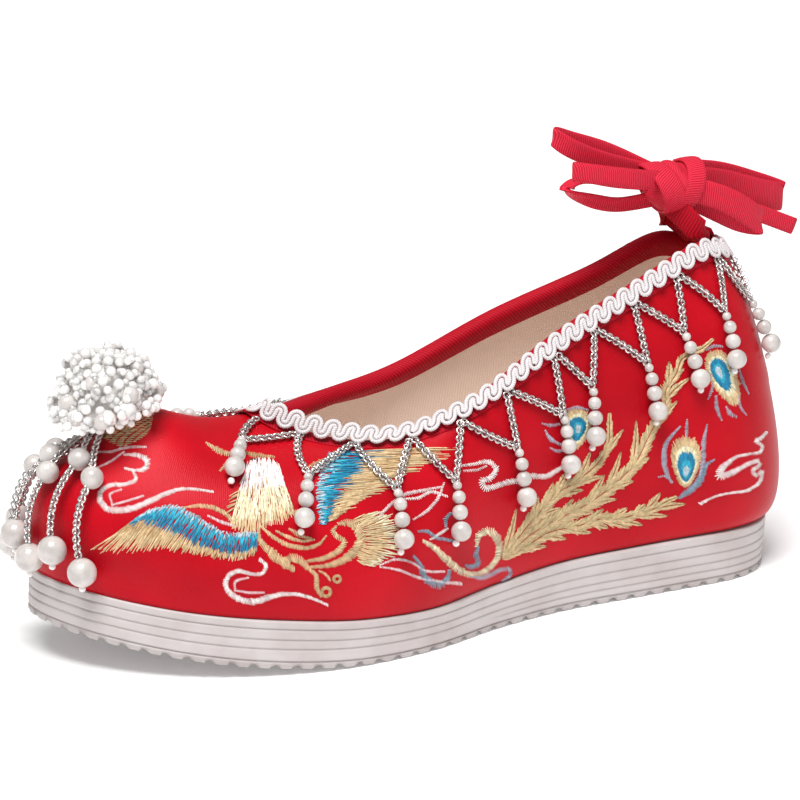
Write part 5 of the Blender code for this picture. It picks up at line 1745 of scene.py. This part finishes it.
def sew_frond(row):
    """Feather: a long pointed blade with pointed leaflets that leave it towards their tips."""
    path, _ = even_curve(row.points, STITCH_GAP)
    run = unit(np.gradient(path, axis=0))
    for tip in row.tips:
        away = np.linalg.norm(path - np.array(tip), axis=1)
        nearest = int(np.argmin(away))
        root = max(nearest - int(LEAF_SLANT * away[nearest] / STITCH_GAP), 0)
        bend = 0.5 * (path[root] + np.array(tip)) + run[root] * LEAF_BEND * away[nearest]
        leaf, _ = even_curve((path[root], bend, tip), STITCH_GAP)
        sew_blade(leaf, LEAFLET, LEAF_TAPER)
    sew_blade(path, row.wide, FROND_TAPER)


def sew_eye(row):
    """Peacock eye: rings of silk about a pale core."""
    centre = np.array([row.x, row.y])
    core = centre + turned(np.array([row.core_x, row.core_y]), row.tilt)
    angle = np.linspace(0, 2 * np.pi, EYE_STITCHES, endpoint=False)
    narrow = 1 - EYE_NARROW * np.sin(angle)
    rim = np.stack([row.half_wide * np.cos(angle) * narrow, row.half_high * np.sin(angle)], axis=-1)
    rim = centre + turned(rim, row.tilt)
    for silk in EYE_RINGS:
        low = silk.starts + rng.normal(0, EYE_START_STRAY, len(angle))
        high = silk.ends + rng.normal(0, EYE_END_STRAY, len(angle))
        sew(core + (rim - core) * low[:, None], core + (rim - core) * high[:, None], silk.colour)


def sew_patch():
    """Brick filling at the toe, row on row of short gold stitches."""
    table = np.array(TOE_PATCH, float)
    rows = np.arange(table[0, 0], table[-1, 0], PATCH_STEP)
    for number, y in enumerate(rows):
        left = np.interp(y, table[:, 0], table[:, 1])
        right = np.interp(y, table[:, 0], table[:, 2])
        x = np.arange(left - PATCH_PITCH / 2 * (number % 2), right, PATCH_PITCH)
        starts = np.stack([np.maximum(x, left), y + 0 * x], axis=-1)
        ends = np.stack([np.minimum(x + PATCH_STITCH, right), y - PATCH_TILT + 0 * x], axis=-1)
        sew(starts, ends, OLD_GOLD if number % 2 else GOLD)


def sew_ringlet(x, y, radius):
    """Small ring of gold stitches."""
    angle = np.linspace(0, 2 * np.pi, RINGLET_STITCHES, endpoint=False)
    way = np.stack([np.cos(angle), np.sin(angle)], axis=-1)
    skew = turned(way, RINGLET_SKEW)
    sew(np.array([x, y]) + way * radius * RINGLET_HOLE, np.array([x, y]) + skew * radius, OLD_GOLD)


def make_caster():
    """Tree of the face's points as the photo sees them."""
    count = int(SEEN_SHARE * FACE_COLUMNS)
    points = FACE[:count].reshape(-1, 3)
    facing = (FACE_NORMALS[:count].reshape(-1, 3) @ AHEAD) < FACING
    keep = np.flatnonzero(facing)
    seen = pixels(points[keep])
    tree = KDTree(len(keep))
    for index, place in zip(keep, seen):
        tree.insert((place[0], place[1], 0.0), int(index))
    tree.balance()
    return tree


def cast(places):
    """Ring and share of the rib where the photo's pixels fall on the upper."""
    tree = make_caster()
    found = np.array([tree.find((x, y, 0.0))[1] for x, y in places])
    ring = FACE_RING[found // FACE_ROWS]
    t = FACE_T[found % FACE_ROWS]
    step = CAST_STEP
    for _ in range(CAST_ROUNDS):
        here = pixels(read_face(FACE, ring, t))
        by_ring = (pixels(read_face(FACE, ring + step, t)) - here) / step
        higher = pixels(read_face(FACE, ring, np.minimum(t + step, 1)))
        by_t = (higher - pixels(read_face(FACE, ring, t - step))) / (2 * step)
        miss = places - here
        area = by_ring[:, 0] * by_t[:, 1] - by_ring[:, 1] * by_t[:, 0]
        area = np.where(np.abs(area) < CAST_LEAST, CAST_STILL, area)
        move_ring = (miss[:, 0] * by_t[:, 1] - miss[:, 1] * by_t[:, 0]) / area
        move_t = (by_ring[:, 0] * miss[:, 1] - by_ring[:, 1] * miss[:, 0]) / area
        ring = ring + np.clip(move_ring, -CAST_RING, CAST_RING)
        t = np.clip(t + np.clip(move_t, -CAST_T, CAST_T), 0.01, 0.99)
    return ring, t


def build_embroidery():
    """Phoenix, clouds and feathers in silk on the outer side, and their mirror image on the inner side."""
    for row in BANDS:
        sew_band(row)
    for row in FANS:
        sew_fan(row)
    for row in FRONDS:
        sew_frond(row)
    for row in EYES:
        sew_eye(row)
    sew_patch()
    for row in RINGLETS:
        sew_ringlet(*row)
    starts = np.concatenate([group.starts for group in sewn])
    ends = np.concatenate([group.ends for group in sewn])
    colours = np.concatenate([group.colours for group in sewn])
    lift_up = rng.uniform(*RISE_STRAY, len(starts))
    shares = np.array(STITCH_SHARES)
    places = starts[:, None] + (ends - starts)[:, None] * shares[None, :, None]
    ring, t = cast(places.reshape(-1, 2))
    rise = np.array(STITCH_RISES)[None] * STITCH_RISE * lift_up[:, None]
    size = Own("size", "FLOAT", np.tile(STITCH_GIRTHS, len(starts)))
    rgba = np.concatenate([colours, np.ones((len(colours), 1))], axis=1)
    tint = Own("tint", "FLOAT_COLOR", np.repeat(rgba, 3, axis=0))
    first = np.arange(len(starts)) * 3
    edges = np.stack([first, first + 1, first + 1, first + 2], axis=-1).reshape(-1, 2).tolist()
    for side in ("outer", "inner"):
        spots = ring if side == "outer" else 2 - ring
        points = read_face(FACE, spots, t) + unit(read_face(FACE_NORMALS, spots, t)) * rise.reshape(-1, 1) * MM
        settings = {"Thread": STITCH_WIDE / 2 / PX_PER_MM * MM, "Smooth": True, "Material": THREAD}
        shown(f"silk_embroidery_{side}", grown(STITCH_TREE, points, [size, tint], settings, edges))


Lamp = namedtuple("Lamp", "name power wide high x y z")
WORLD = 0.24
LAMPS = (
    Lamp("key", 72.0, 1.2, 1.2, -0.6, -0.6, 2.2),
    Lamp("fill", 2.0, 1.5, 1.0, 1.2, -1.2, 0.9),
)
LAMP_AIM = Vector((0.0, 0.0, 0.04))
FLOOR_REACH = 6.0


def build_stage():
    """White floor, soft light from all round and a key light over the toe, and the photo's camera."""
    mesh = bpy.data.meshes.new("floor")
    reach = FLOOR_REACH
    corners = [(-reach, -reach, 0), (reach, -reach, 0), (reach, reach, 0), (-reach, reach, 0)]
    mesh.from_pydata(corners, [], [(0, 1, 2, 3)])
    floor = bpy.data.objects.new("floor", mesh)
    mesh.materials.append(make_paper())
    bpy.context.scene.collection.objects.link(floor)
    world = bpy.data.worlds.new("studio")
    world.use_nodes = True
    world.node_tree.nodes["Background"].inputs["Color"].default_value = (1.0, 1.0, 1.0, 1.0)
    world.node_tree.nodes["Background"].inputs["Strength"].default_value = WORLD
    bpy.context.scene.world = world
    bpy.context.scene.view_settings.view_transform = "Standard"
    for lamp in LAMPS:
        light = bpy.data.lights.new(lamp.name, "AREA")
        light.energy = lamp.power
        light.shape = "RECTANGLE"
        light.size = lamp.wide
        light.size_y = lamp.high
        holder = bpy.data.objects.new(lamp.name, light)
        place = Vector((lamp.x, lamp.y, lamp.z))
        holder.location = place
        holder.rotation_euler = (LAMP_AIM - place).to_track_quat("-Z", "Y").to_euler()
        bpy.context.scene.collection.objects.link(holder)
    camera = bpy.data.cameras.new("camera")
    camera.sensor_width = SENSOR
    camera.lens = SENSOR * PX_PER_MM * AWAY / PHOTO
    camera.shift_x = float(PHOTO / 2 - AIM_PX[0]) / PHOTO
    camera.shift_y = float(AIM_PX[1] - PHOTO / 2) / PHOTO
    camera.clip_end = 50.0
    holder = bpy.data.objects.new("camera", camera)
    axes = Matrix((RIGHT, ABOVE, -AHEAD)).transposed()
    holder.matrix_world = Matrix.Translation(Vector((AIM - AHEAD * AWAY) * MM)) @ axes.to_4x4()
    bpy.context.scene.collection.objects.link(holder)
    bpy.context.scene.camera = holder


build_outsole()
build_upper()
build_insole()
build_binding()
build_braid()
build_beads()
build_pompom()
build_heel_loop()
build_bow()
build_embroidery()
build_stage()
